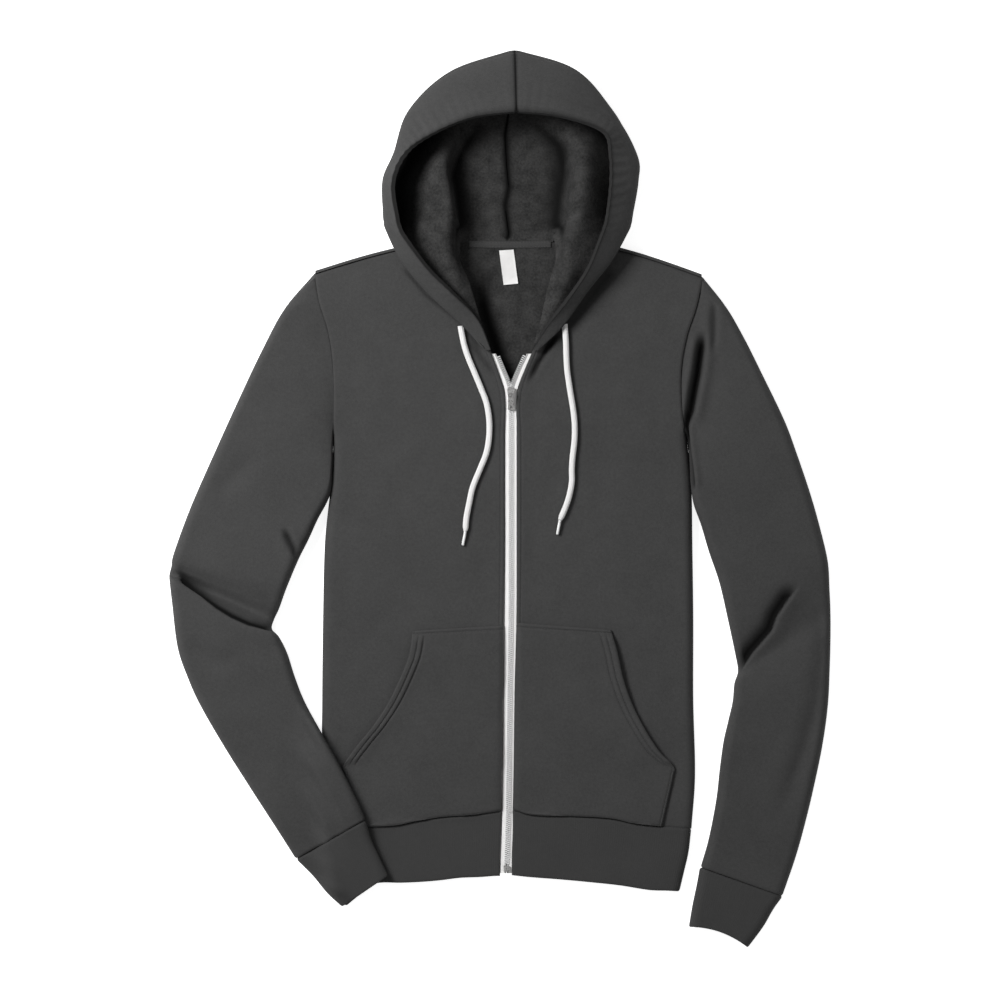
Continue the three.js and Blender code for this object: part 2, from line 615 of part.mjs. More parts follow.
function zipTape(side) {
  const column = side < 0 ? 'rightX' : 'leftX';
  const front = side < 0 ? FRONT_RIGHT : FRONT_LEFT;
  const places = ZIP.flatMap((row, i) => (i === 0 ? [row] : [
    { y: mix(ZIP[i - 1].y, row.y, 0.5), [column]: mix(ZIP[i - 1][column], row[column], 0.5) },
    row,
  ]));
  const grid = places.map((p) => {
    const x = p[column] + side * SEAM / 2;
    const z = clothHigh(front, x + side * IN_ON_CLOTH, Math.min(p.y, 150)) - TAPE_DROP;
    const open = p.y > OPEN_TAPE.fromY;
    const edgeX = open ? x + side * OPEN_TAPE.wide : p[column] + side * (TAPE_SHOWS + TAPE_UNDER);
    return [
      V(x, p.y, z + CHAIN_RISE),
      V(x + side * CHAIN_HALF, p.y, z + CHAIN_RISE),
      V(x + side * (CHAIN_HALF + 0.3), p.y, z),
      V(edgeX, p.y, z),
    ];
  });
  const rise = [TAPE_WALL + CHAIN_RISE, TAPE_WALL + CHAIN_RISE, TAPE_WALL, TAPE_WALL];
  return wall(grid, (i, j) => rise[j], { lean: () => DOWN });
}

// Solids joined or cut through manifold
function solid(geometry) {
  const bare = geometry.clone();
  bare.deleteAttribute('normal');
  bare.deleteAttribute('uv');
  const merged = BufferGeometryUtils.mergeVertices(bare);
  return new wasm.Manifold(new wasm.Mesh({
    numProp: 3,
    vertProperties: merged.attributes.position.array,
    triVerts: new Uint32Array(merged.index.array),
  }));
}

function geometryOf(body) {
  const mesh = body.getMesh();
  const geometry = new THREE.BufferGeometry();
  geometry.setAttribute('position', new THREE.Float32BufferAttribute(mesh.vertProperties, 3));
  geometry.setIndex([...mesh.triVerts]);
  return geometry;
}

const chainTop = (y) => clothHigh(FRONT_RIGHT, SLIDER.x - IN_ON_CLOTH, y) - TAPE_DROP + CHAIN_RISE;
const PIN = { y: SLIDER.y - 1.5, z: chainTop(SLIDER.y) + SEAM + SLIDER.high + SLIDER.pinUp };

const barAcross = (radius, length) => new THREE.CylinderGeometry(radius, radius, length, 16).rotateZ(Math.PI / 2);

// The slider: a shield shaped body with two lugs and a cross pin for the pull
function sliderGeometry() {
  const { wide, long, high, lug } = SLIDER;
  const outline = new THREE.Shape();
  outline.moveTo(-wide * 0.34, -long / 2);
  outline.lineTo(wide * 0.34, -long / 2);
  outline.quadraticCurveTo(wide * 0.42, 0, wide / 2, long * 0.3);
  outline.quadraticCurveTo(wide * 0.42, long / 2, 0, long / 2);
  outline.quadraticCurveTo(-wide * 0.42, long / 2, -wide / 2, long * 0.3);
  outline.quadraticCurveTo(-wide * 0.42, 0, -wide * 0.34, -long / 2);
  const plate = new THREE.ExtrudeGeometry(outline, { depth: high, bevelEnabled: false, curveSegments: 6 });
  plate.translate(SLIDER.x, SLIDER.y, chainTop(SLIDER.y) + SEAM);
  let body = solid(plate);
  const base = chainTop(SLIDER.y) + SEAM + high;
  const tall = PIN.z + SLIDER.pin + 0.3 - base;
  for (const side of [-1, 1]) {
    const post = new THREE.BoxGeometry(lug * 0.75, 3.2, tall + 0.5);
    post.translate(SLIDER.x + side * (PULL.barrelWide / 2 + 0.3 + lug * 0.375), PIN.y, base + tall / 2 - 0.25);
    body = body.add(solid(post));
  }
  const pin = barAcross(SLIDER.pin, PULL.barrelWide + 0.6 + lug);
  pin.translate(SLIDER.x, PIN.y, PIN.z);
  return geometryOf(body.add(solid(pin)));
}

// The pull: a barrel round the pin and a slotted tab that lies towards the hem
function pullGeometry() {
  const { wide, long, thick, barrel, bore, barrelWide } = PULL;
  let body = solid(barAcross(barrel, barrelWide));
  const tab = new THREE.Shape();
  tab.moveTo(-barrelWide / 2, -1);
  tab.lineTo(barrelWide / 2, -1);
  tab.lineTo(wide / 2, -4.5);
  tab.lineTo(wide / 2, -long + 1.6);
  tab.quadraticCurveTo(wide / 2, -long, wide / 2 - 1.6, -long);
  tab.lineTo(-wide / 2 + 1.6, -long);
  tab.quadraticCurveTo(-wide / 2, -long, -wide / 2, -long + 1.6);
  tab.lineTo(-wide / 2, -4.5);
  tab.lineTo(-barrelWide / 2, -1);
  const slot = new THREE.Path();
  slot.absellipse(0, -long + 4, 1.3, 2, 0, Math.PI * 2, false, 0);
  tab.holes.push(slot);
  const plate = new THREE.ExtrudeGeometry(tab, { depth: thick, bevelEnabled: false, curveSegments: 5 });
  plate.translate(0, 0, -thick / 2);
  body = body.add(solid(plate)).subtract(solid(barAcross(bore, wide * 2)));
  const geometry = geometryOf(body);
  geometry.rotateX(THREE.MathUtils.degToRad(PULL.tilt));
  return geometry.translate(SLIDER.x, PIN.y, PIN.z);
}

// The fitting at the foot of the zip
function stopGeometry() {
  const { x, y, wide, long, high } = STOP;
  const box = new THREE.BoxGeometry(wide, long, high);
  return box.translate(x, y, chainTop(y + long / 2) + SEAM + high / 2);
}

// A drawcord: a round tube along its hand placed points, lying on the front
function cordPath(points, front, radius) {
  return points.map((p) => V(p.x, p.y, faceHeight(front, p.x, p.y) + SEAM + radius));
}

function tube(points, radius, sides, perPoint) {
  const path = new THREE.CatmullRomCurve3(points);
  const section = new THREE.Shape();
  for (let k = 0; k < sides; k += 1) {
    const a = (k / sides) * Math.PI * 2;
    if (k === 0) section.moveTo(radius * Math.cos(a), radius * Math.sin(a));
    else section.lineTo(radius * Math.cos(a), radius * Math.sin(a));
  }
  section.closePath();
  const count = Math.round((points.length - 1) * perPoint);
  return new THREE.ExtrudeGeometry(section, { steps: count, extrudePath: path, bevelEnabled: false });
}

function cordPieces(points, front, tipEnd) {
  const radius = CORD.diameter / 2;
  const path = cordPath(points, front, radius);
  const end = path[path.length - 1];
  const far = V(tipEnd[0], tipEnd[1], faceHeight(front, tipEnd[0], tipEnd[1]) + SEAM + CORD.tip / 2);
  const start = end.clone().lerp(far, SEAM / end.distanceTo(far));
  return [tube(path, radius, 8, 1.4), tube([start, far], CORD.tip / 2, 8, 2)];
}

// The tape over the back neck seam and the bare size label under it, both on the back's inner face
function flatStrip(rows, z, thick) {
  const grid = rows.map(([upper, lower]) => [V(upper[0], upper[1], z), V(lower[0], lower[1], z)]);
  return wall(grid, thick, { lean: () => UP });
}

const FLOOR_FACE = WALL + SEAM;
const NECK_TAPE = { fromX: -34, toX: 56, count: 8, upper: 285.6, wide: 7, thick: 1.1, sag: 0.6 };
const LABEL = { corners: [[[-1, 275], [4, 237]], [[15, 276], [20, 238.5]]], thick: 0.8 };

function neckTape() {
  const { fromX, toX, count, upper, wide, sag, thick } = NECK_TAPE;
  const rows = steps(count).map((f) => {
    const y = upper - sag * 4 * f * (1 - f);
    return [[mix(fromX, toX, f), y], [mix(fromX, toX, f), y - wide]];
  });
  return flatStrip(rows, FLOOR_FACE, thick);
}

// Looks of each finish
const finish = (color, roughness, metalness) => new THREE.MeshStandardMaterial({ color, roughness, metalness });
const CLOTH = () => finish(COLOURS.cloth, 0.95, 0);
const RIB = () => finish(COLOURS.rib, 0.95, 0);
const WHITE = () => finish(COLOURS.white, 0.9, 0);
const NICKEL = () => finish(COLOURS.nickel, 0.35, 0.9);

const garment = new THREE.Group();
function piece(name, geometry, material) {
  const mesh = new THREE.Mesh(geometry, material);
  mesh.name = name;
  garment.add(mesh);
}

piece('back', backPanel(), CLOTH());
piece('waistband', waistband(), RIB());
const SIDES = [
  {
    name: 'right', side: -1, front: FRONT_RIGHT, sleeve: SLEEVE_RIGHT, cuff: CUFF_RIGHT,
    pocket: POCKET_RIGHT, hood: HOOD_RIGHT, cord: CORD_RIGHT,
  },
  {
    name: 'left', side: 1, front: FRONT_LEFT, sleeve: SLEEVE_LEFT, cuff: CUFF_LEFT,
    pocket: POCKET_LEFT, hood: HOOD_LEFT, cord: CORD_LEFT,
  },
];
for (const half of SIDES) {
  piece(`front_${half.name}`, frontPanel(half.front, -half.side), CLOTH());
  piece(`sleeve_${half.name}`, sleeve(half.sleeve, half.front, half.side), CLOTH());
  piece(`cuff_${half.name}`, cuff(half.cuff, half.side), RIB());
  piece(`pocket_${half.name}`, patch(half.pocket, half.front, 8, WALL), CLOTH());
  piece(`hood_${half.name}`, hoodHalf(half.hood, half.side), CLOTH());
  piece(`zip_tape_${half.name}`, zipTape(half.side), WHITE());
  const [cord, tip] = cordPieces(half.cord, half.front, TIP_END[half.name]);
  piece(`drawcord_${half.name}`, cord, WHITE());
  piece(`drawcord_tip_${half.name}`, tip, NICKEL());
}
piece('neck_tape', neckTape(), CLOTH());
piece('neck_label', flatStrip(LABEL.corners, FLOOR_FACE, LABEL.thick), WHITE());
piece('zip_stop', stopGeometry(), NICKEL());
piece('zip_slider', sliderGeometry(), NICKEL());
piece('zip_pull', pullGeometry(), NICKEL());

export default garment;
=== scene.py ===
"""Dresses the laid zip up hoodie: fleece, rib, zip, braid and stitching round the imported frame."""

from __future__ import annotations

import logging
import math
from dataclasses import dataclass, field
from enum import Enum
from typing import Any, Sequence

import bpy
import numpy as np
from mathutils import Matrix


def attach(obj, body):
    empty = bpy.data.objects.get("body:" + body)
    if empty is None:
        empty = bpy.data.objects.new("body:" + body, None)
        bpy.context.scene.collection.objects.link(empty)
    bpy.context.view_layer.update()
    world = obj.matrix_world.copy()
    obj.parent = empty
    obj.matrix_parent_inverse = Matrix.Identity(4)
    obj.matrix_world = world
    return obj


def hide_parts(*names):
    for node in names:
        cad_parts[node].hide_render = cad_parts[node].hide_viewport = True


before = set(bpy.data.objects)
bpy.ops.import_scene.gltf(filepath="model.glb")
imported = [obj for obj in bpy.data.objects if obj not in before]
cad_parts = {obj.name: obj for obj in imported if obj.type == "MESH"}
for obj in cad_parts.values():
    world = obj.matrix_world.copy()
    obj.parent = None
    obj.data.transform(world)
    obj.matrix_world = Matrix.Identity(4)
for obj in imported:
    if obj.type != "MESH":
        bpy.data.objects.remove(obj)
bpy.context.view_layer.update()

LOG = logging.getLogger("hoodie")
Array = np.ndarray

# Sizes in millimetres and places in row numbers, most of them shared with the solids
MM = 0.001
PIXEL = 1.1  # millimetres for each pixel of the photograph
WALL = 2.5  # the fleece
RIB_WALL = 3.0
HEM_WALL = 4.5  # the hood's folded rim
HEM_REACH = 0.55  # columns in from the rim that have this wall
SEAM = 0.3  # the gap between sewn pieces
EDGE_ROUND = 10.0  # how far in a laid edge rounds over
SEAM_SHARE = 0.45  # the side seam's height, as a share of the laid cloth's
TAPE_DROP = 3.6  # how far the zip tapes lie under the fronts' faces
NECK_Y = 284.9  # the back's neck seam
TIP_SHY = 0.12  # rows by which the back's fold stops short of the shoulder tips
NECK_BLEND = 14.0  # how far beside the neck the shoulder fold is whole
ROUND_STEPS = 9  # points round a laid edge
TUBE_FLATS = 46  # steps across the flat of a sleeve or cuff
CROTCH = 2 * ROUND_STEPS + TUBE_FLATS - 2  # the point of a ring at the underarm
HALVINGS = 22  # steps of the search for a front's rung
UNDERARM = 6  # a front's row at the foot of its armhole
SHOULDER = 12  # a front's row at its shoulder seam
BACK_SEAM_ROW = 6  # the hood's row where the neck seam meets the centre back seam
HOOD_TIP_WALL = 2.0  # the hood's front ends
HOOD_TIP_ROWS = 1.2  # rows over which they grow to the whole wall
TUCKED = (-0.1, -0.05)  # rows of a rib that lie hidden in the seam above it
BACK_SEAM = ((286, 10.5), (324.5, 5.5), (344.5, 9.5), (372, 7), (402, 5.5), (431, 10))  # y, x
TAPE_LIFT = 1.6  # how far the bare part of the zip tape bulges up
SHOULDER_BOW = 3.2  # how far the shoulder seams bow up
HEM_WAVE = (  # the hem seam's wander: place across and pixels down
    (330, 0), (371, 2.2), (396, 3.6), (415, 1.5), (443, 0), (472, 1), (500, 0), (514, 0),
    (531, 3), (576, 0), (611, -1.5), (634, 1), (663, 1), (690, 0),
)
FOOT_WAVE = (  # the same for the waistband's lower edge
    (340, 0), (380, 0), (400, 3), (420, 4.5), (440, 4.5), (460, 3), (480, 2.5), (500, 1),
    (530, 2), (560, 2), (590, 2), (620, 2), (650, 3), (670, 1), (690, 0),
)
GARMENT = "garment"  # the body that the cloth rides on


class Slot(Enum):
    """The record's material slots."""

    FLEECE = "fleece"
    RIB = "rib"
    ZIP_CLOTH = "zip_cloth"
    CORD = "cord"
    LABEL = "label"
    NICKEL = "nickel"


class Fold(Enum):
    """How the cloth lies along a crease."""

    VALLEY = "valley"
    LAP = "lap"


def seen(x: float, y: float) -> tuple[float, float]:
    """The place on the cloth, in millimetres, that the photograph shows at a pixel."""
    return (x - 500) * PIXEL, (500 - y) * PIXEL


def mix(a: Any, b: Any, f: Any) -> Any:
    """A value between a and b, at share f."""
    return a + (b - a) * f


def share(f: Any) -> Any:
    """A number held between 0 and 1."""
    return np.clip(f, 0.0, 1.0)


def smooth(f: Any) -> Any:
    """A soft step from 0 to 1."""
    return share(f) ** 2 * (3 - 2 * share(f))


def along(rows: Array, at: Any) -> Array:
    """A smooth curve through rows of numbers.

    Args:
        rows: One row for each named section.
        at: Row numbers with fractions.

    Returns:
        The rows found there, in the shape of at with the columns last.
    """
    at = np.asarray(at, float)
    i = np.clip(np.floor(at).astype(int), 0, len(rows) - 2)
    f = (at - i)[..., None]
    before, a, b = rows[np.maximum(0, i - 1)], rows[i], rows[i + 1]
    after = rows[np.minimum(len(rows) - 1, i + 2)]
    step = b - a
    start = np.where((i == 0)[..., None], step, (b - before) / 2)
    end = np.where((i == len(rows) - 2)[..., None], step, (after - a) / 2)
    return a + f * (start + f * (3 * step - 2 * start - end + f * (start + end - 2 * step)))


def unit(v: Array) -> Array:
    """Vectors of length one."""
    return v / np.maximum(np.linalg.norm(v, axis=-1, keepdims=True), 1e-12)


class Rows:
    """Measured rows of named columns, in millimetres."""

    def __init__(self, columns: str, rows: Sequence[Sequence[float]]) -> None:
        """Keeps the columns' names and the rows."""
        self.names = columns.split()
        self.values = np.array(rows, float)

    def at(self, t: Any) -> dict[str, Array]:
        """Every column at row numbers t, by name."""
        found = along(self.values, t)
        return {name: found[..., k] for k, name in enumerate(self.names)}

    def row(self, i: int) -> dict[str, float]:
        """One measured row, by name."""
        return dict(zip(self.names, self.values[i]))


# Measured rows: fronts and pockets from the hem up, arms from the shoulder, hood from the zip
FRONT_COLUMNS = "in_x in_y out_x out_y high rounds"
FRONT_RIGHT = Rows(FRONT_COLUMNS, [
    (2, -343, -191, -362, 12, 1),
    (2, -286, -196, -302, 14, 1),
    (3, -209, -196, -220, 16, 1),
    (4, -132, -195, -132, 18, 1),
    (5, -55, -193, -50, 18, 1),
    (5, 11, -187, 11, 18, 1),
    (5, 68, -184, 51, 18, 1),
    (5, 117, -183, 88, 18, 0),
    (-9.5, 162, -183, 127, 18, 0),
    (-22, 196, -185, 160, 18, 0),
    (-32, 228, -190, 189, 18, 0),
    (-44, 257, -199, 218, 17, 0),
    (-58, 285, -204, 248, 13, 0),
])
FRONT_LEFT = Rows(FRONT_COLUMNS, [
    (14, -342, 211, -362, 12, 1),
    (15, -286, 215, -302, 14, 1),
    (16, -209, 213, -220, 16, 1),
    (18, -132, 213, -132, 18, 1),
    (19, -55, 212, -50, 18, 1),
    (19, 11, 211, 11, 18, 1),
    (19, 66, 207, 57, 18, 1),
    (19, 117, 202, 82, 18, 0),
    (34.5, 161, 199, 119, 18, 0),
    (51, 195, 200, 150, 18, 0),
    (63, 229, 206, 182, 18, 0),
    (73, 257, 216, 212, 17, 0),
    (81, 286, 223, 244, 13, 0),
])
TUBE_COLUMNS = "out_x out_y in_x in_y high bow"
SLEEVE_RIGHT = Rows(TUBE_COLUMNS, [
    (-237, 211, -184.4, 34, 20, 8),
    (-262, 165, -187, 6, 23, 5),
    (-288, 110, -201, -22, 25, 2),
    (-317, 46, -211, -44, 26, 0),
    (-341, -9, -222, -66, 26, 0),
    (-359, -58, -235, -97, 25, 0),
    (-362, -73, -243, -119, 19, 0),
    (-364, -81, -249, -132, 14, 0),
    (-364, -88, -251, -142, 25, 0),
    (-361, -114, -243, -151, 29, 0),
    (-355, -162, -234, -169, 28, 0),
    (-344, -195, -226, -194, 27, 0),
    (-330, -226, -215, -222, 26, 0),
    (-304, -271, -196, -256, 25, 0),
    (-275, -317, -176, -292, 24, 0),
    (-244, -365, -157, -330, 22, 0),
    (-225, -395, -148, -351, 19, 0),
])
SLEEVE_LEFT = Rows(TUBE_COLUMNS, [
    (248, 214, 207.8, 50, 20, -9),
    (268, 180, 208.8, 34, 23, -5),
    (289, 138, 209.8, 18, 25, -3),
    (313, 88, 213, -4, 26, 0),
    (326.5, 52, 221.5, -28, 26, 0),
    (342, 6, 230, -57, 26, 0),
    (353, -33, 241.5, -91, 26, 0),
    (361, -68, 251, -132, 25, 0),
    (363, -99, 258.5, -167, 21, 0),
    (364, -123, 262, -188, 19, 0),
    (364, -150, 258, -202, 24, 0),
    (363, -187, 256, -222, 27, 0),
    (361, -226, 251, -244, 27, 0),
    (355, -270, 246, -266, 27, 0),
    (346, -314, 242, -295, 26, 0),
    (337, -352, 238, -330, 25, 0),
    (326, -392, 230, -372, 22, 0),
    (311, -436, 221, -404, 19, 0),
])
CUFF_RIGHT = Rows(TUBE_COLUMNS, [
    (-224, -396, -148, -352, 18, 0),
    (-206, -414, -141, -374, 18, 0),
    (-190, -433, -131, -396, 17, 0),
    (-174, -448, -123, -413, 16, 0),
])
CUFF_LEFT = Rows(TUBE_COLUMNS, [
    (311, -437, 220, -405, 18, 0),
    (301, -451, 217, -422, 18, 0),
    (290, -470, 212, -446, 17, -3),
    (273, -493, 208, -470, 16, -6),
])
BAND = Rows(
    "zip_right_x zip_right_y right_x right_y left_x left_y zip_left_x zip_left_y"
    " sag_right sag_left back_rise high",
    [
        (2, -343.3, -191, -362.3, 211, -362.3, 14, -342.3, 0, 0, 0, 12),
        (1, -368, -189, -388, 208, -388, 14, -366, 1, 1, 10, 12),
        (0, -391, -185, -410, 203, -410, 13, -389, 3, 1, 18, 11.5),
        (0, -413, -179, -431, 198, -431, 13, -412, 6, 2, 26, 11),
    ],
)
POCKET_COLUMNS = "in_x in_y out_x out_y"
POCKET_RIGHT = Rows(POCKET_COLUMNS, [
    (1.5, -342, -161, -359),
    (2, -302, -170, -305),
    (3, -288, -172, -292),
    (3, -270, -157, -270),
    (3, -249, -140, -249),
    (3, -223, -123, -223),
    (4, -194, -109, -194),
    (4, -170, -100, -170),
    (4, -138, -96, -144),
])
POCKET_LEFT = Rows(POCKET_COLUMNS, [
    (14.5, -341, 178, -358),
    (15, -306, 190, -306),
    (15, -288, 191, -293),
    (16, -276, 175, -276),
    (16, -253, 160, -253),
    (17, -228, 147, -228),
    (18, -198, 136, -198),
    (18, -167, 129, -167),
    (18, -135, 122, -143),
])
HOOD_COLUMNS = (
    "rim_x rim_y rim_z bulge_x bulge_y bulge_z under_x under_y under_z "
    "fold_x fold_y fold_z foot_x foot_y foot_z end_x end_y end_z"
)
HOOD_RIGHT = Rows(HOOD_COLUMNS, [
    (-10, 165, 25, -18, 165.5, 24.6, -16.5, 170, 23, -14.5, 172, 22.4, -13, 171.5, 22,
     -12, 171, 21.8),
    (-25, 199, 33, -43, 193, 28, -39, 200, 22, -33, 206, 24, -28, 206, 22.5, -24, 202, 21),
    (-53, 227, 45, -79, 227, 34, -71, 234, 22, -50, 242, 31, -37, 239, 24, -34, 233, 21),
    (-79, 252, 51, -108, 262, 36, -98, 266, 22, -60, 273, 36, -48, 266, 23, -45, 260, 20),
    (-105, 286, 55, -125, 295, 34, -112, 293, 10, -61, 301, 40, -50, 294, 18, -44, 289, 13),
    (-111, 297, 56, -128, 306, 34, -113, 305, 4, -58, 309, 40, -47, 301, 5, -41, 288, 2),
    (-114, 308, 57, -129, 317, 34, -113, 317, 0, -58, 319, 40, -45, 309, 3, 8, 287.3, 0),
    (-119, 345, 59, -129, 352, 35, -113, 348, 0, -60, 344, 40, -47, 337, 1, 8, 324, 0),
    (-108, 376, 60, -117, 381, 36, -101, 376, 0, -63, 367, 34, -50, 361, 0, 8, 358, 0),
    (-82, 397, 64, -101, 427, 38, -82, 418, 0, -57, 396, 16, -37, 391, 0, 8, 391, 0),
    (-33, 418, 70, -55, 469, 42, -43, 455, 0, -33, 427, 4, -16, 420, 0, 9, 413, 0),
    (18, 425, 72, 16, 493, 44, 14, 475, 0, 13, 453, 0, 11, 446, 0, 10, 431, 0),
])
HOOD_LEFT = Rows(HOOD_COLUMNS, [
    (35, 164, 25, 43, 165.5, 24.6, 41.5, 170, 23, 39.5, 172, 22.4, 38.5, 171.5, 22,
     37.5, 171, 21.8),
    (52, 190, 34, 70, 191.5, 28.5, 64, 199, 22, 57, 207, 25, 51, 206, 22.5, 47, 205, 21),
    (75, 219, 45, 97, 229, 34, 89, 237, 22, 73, 245, 31, 58, 239, 24, 55, 233, 21),
    (97, 252, 51, 122, 261, 36, 113, 266, 22, 79, 275, 34, 66, 266, 23, 63, 260, 20),
    (111, 286, 55, 140, 293, 34, 126, 293, 10, 86, 302, 36, 70, 294, 18, 60, 289, 13),
    (115, 297, 56, 144, 303, 34, 129, 303, 4, 86, 310, 36, 67, 301, 5, 56, 288, 2),
    (118, 308, 57, 146, 314, 34, 130, 314, 0, 88, 319, 36, 63, 308, 3, 8, 287.3, 0),
    (122, 341, 59, 152, 350, 35, 134, 345, 0, 90, 345, 36, 66, 336, 1, 8, 324, 0),
    (122, 376, 60, 151, 378, 36, 134, 374, 0, 92, 374, 31, 70, 363, 0, 8, 358, 0),
    (114, 404, 64, 127, 423, 38, 112, 416, 0, 88, 398, 16, 64, 391, 0, 8, 391, 0),
    (66, 420, 70, 84, 471, 42, 66, 455, 0, 53, 427, 4, 35, 420, 0, 9, 413, 0),
    (18, 425, 72, 16, 493, 44, 14, 475, 0, 13, 453, 0, 11, 446, 0, 10, 431, 0),
])
ZIP = Rows("y right_x left_x", [
    (-411, 7, 7),
    (-352, 9, 9),
    (-264, 10, 10),
    (-110, 12, 12),
    (60, 12, 12),
    (120, 12, 12),
    (132, 8, 16),
    (146, 2, 22),
    (161, -4, 29),
])
SHOULDER_FOLD = Rows("inset neck_inset z", [
    (9, 8, 0),
    (3, 5, 0.4),
    (-2, 3.5, 2.6),
    (-4, 2.2, 6.5),
    (-4.2, 0.6, 10.4),
    (-1.2, -0.3, 13),
])
# The cords' routes over the fronts, and the ends of their tips in HALVES
CORD_RIGHT = [
    (-43.5, 191.5), (-39.5, 171), (-35, 157), (-28, 140), (-21, 123), (-15, 107), (-12, 89),
    (-12, 70), (-15, 52), (-22, 34), (-30, 14), (-34, -4), (-37, -20), (-38, -34),
]
CORD_LEFT = [
    (71, 193.5), (72.5, 174), (73, 158), (74, 142), (77, 121), (80, 103), (82, 85),
    (82, 67), (80, 48), (79, 34), (79, 20), (76, 4), (72, -8), (66, -22),
]
DOWN = np.array([0.0, 0.0, -1.0])
UP = np.array([0.0, 0.0, 1.0])


# Shaders
class Wire:
    """A node's output that Python arithmetic works on."""

    def __init__(self, tree: Tree, socket: bpy.types.NodeSocket) -> None:
        """Keeps the tree and the socket."""
        self.tree = tree
        self.socket = socket

    def _maths(self, operation: str, a: Any, b: Any = 0.0) -> Wire:
        """One Math node on two values."""
        return self.tree.node("ShaderNodeMath", {"operation": operation}, {0: a, 1: b})

    def __add__(self, other: Any) -> Wire:
        """Self plus other."""
        return self._maths("ADD", self, other)

    __radd__ = __add__

    def __mul__(self, other: Any) -> Wire:
        """Self times other."""
        return self._maths("MULTIPLY", self, other)

    __rmul__ = __mul__

    def __sub__(self, other: Any) -> Wire:
        """Self less other."""
        return self._maths("SUBTRACT", self, other)

    def __rsub__(self, other: Any) -> Wire:
        """Other less self."""
        return self._maths("SUBTRACT", other, self)

    def __truediv__(self, other: Any) -> Wire:
        """Self over other."""
        return self._maths("DIVIDE", self, other)

    def __abs__(self) -> Wire:
        """Self without its sign."""
        return self._maths("ABSOLUTE", self)

    def wave(self) -> Wire:
        """The sine of self turns."""
        return self._maths("SINE", self * (2 * math.pi))

    def part(self) -> Wire:
        """What self has past its whole number."""
        return self._maths("FRACT", self)

    def over(self, level: float) -> Wire:
        """1 where self is above a level."""
        return self._maths("GREATER_THAN", self, level)

    def held(self) -> Wire:
        """Self held between 0 and 1."""
        return self.tree.node("ShaderNodeClamp", {}, {0: self})


class Tree:
    """A material's nodes, with one principled shader."""

    def __init__(self, name: str, **constants: Any) -> None:
        """Makes the material and sets constants on its shader's own sockets."""
        self.material = bpy.data.materials.new(name)
        self.material.use_nodes = True
        self.nodes = self.material.node_tree.nodes
        self.links = self.material.node_tree.links
        self.shader = self.nodes["Principled BSDF"]
        for key, value in constants.items():
            socket = key.replace("_", " ").title().replace("Ior", "IOR")
            self.shader.inputs[socket].default_value = value

    def node(
        self, kind: str, settings: dict[str, Any], inputs: dict[Any, Any], out: Any = 0
    ) -> Wire:
        """Adds a node.

        Args:
            kind: The node's type.
            settings: Its settings, set first; "stops" gives a ramp's places and greys.
            inputs: Values or wires, by socket number or name.
            out: The output wanted, by number or name.

        Returns:
            The output as a wire.
        """
        made = self.nodes.new(kind)
        for key, value in settings.items():
            if key == "stops":
                ramp = made.color_ramp
                ramp.elements[0].position, ramp.elements[-1].position = value[0][0], value[-1][0]
                for place, _ in value[1:-1]:
                    ramp.elements.new(place)
                for stop, (_, grey) in zip(ramp.elements, value):
                    stop.color = (grey, grey, grey, 1)
            else:
                setattr(made, key, value)
        for key, value in inputs.items():
            if isinstance(value, Wire):
                self.links.new(value.socket, made.inputs[key])
            else:
                made.inputs[key].default_value = value
        return Wire(self, made.outputs[out])

    def cut(self) -> tuple[Wire, Wire]:
        """Millimetres across and down the cloth as it was cut."""
        where = self.node("ShaderNodeUVMap", {"uv_map": "cut"}, {})
        split = self.node("ShaderNodeSeparateXYZ", {}, {0: where})
        down = Wire(self, split.socket.node.outputs[1])
        return split * 1000.0, down * 1000.0

    def place(self) -> Wire:
        """The place in the object's own space, in metres."""
        return self.node("ShaderNodeTexCoord", {}, {}, "Object")

    def hollow(self) -> Wire:
        """The painted shade in folds, seams and under edges, from 0 to 1, read from the mesh."""
        return self.node("ShaderNodeAttribute", {"attribute_name": "hollow"}, {}, "Fac")

    def noise(self, size_mm: float, detail: float = 2.0, roughness: float = 0.5) -> Wire:
        """Soft random values from 0 to 1, with lumps of a size."""
        return self.node(
            "ShaderNodeTexNoise", {},
            {"Vector": self.place(), "Scale": 1000.0 / size_mm, "Detail": detail,
             "Roughness": roughness},
        )

    def blend(self, factor: Any, a: Any, b: Any) -> Wire:
        """A colour between two, by a factor. Each colour is a wire or three numbers."""
        one, two = (c if isinstance(c, Wire) else (*c, 1.0) for c in (a, b))
        return self.node("ShaderNodeMix", {"data_type": "RGBA"}, {0: factor, 6: one, 7: two}, 2)

    def feed(self, name: str, wire: Wire) -> None:
        """Links a wire to one of the shader's sockets."""
        self.links.new(wire.socket, self.shader.inputs[name])

    def bump(self, height: Wire, depth_mm: float, strength: float = 1.0) -> None:
        """Raises the surface by a height from 0 to 1."""
        self.feed("Normal", self.node(
            "ShaderNodeBump", {},
            {"Height": height, "Distance": depth_mm * MM, "Strength": strength},
        ))


def grey(level: float, warm: float = 0.0) -> tuple[float, float, float]:
    """A grey, a little warm or cool."""
    return level * (1 + warm), level, level * (1 - warm)


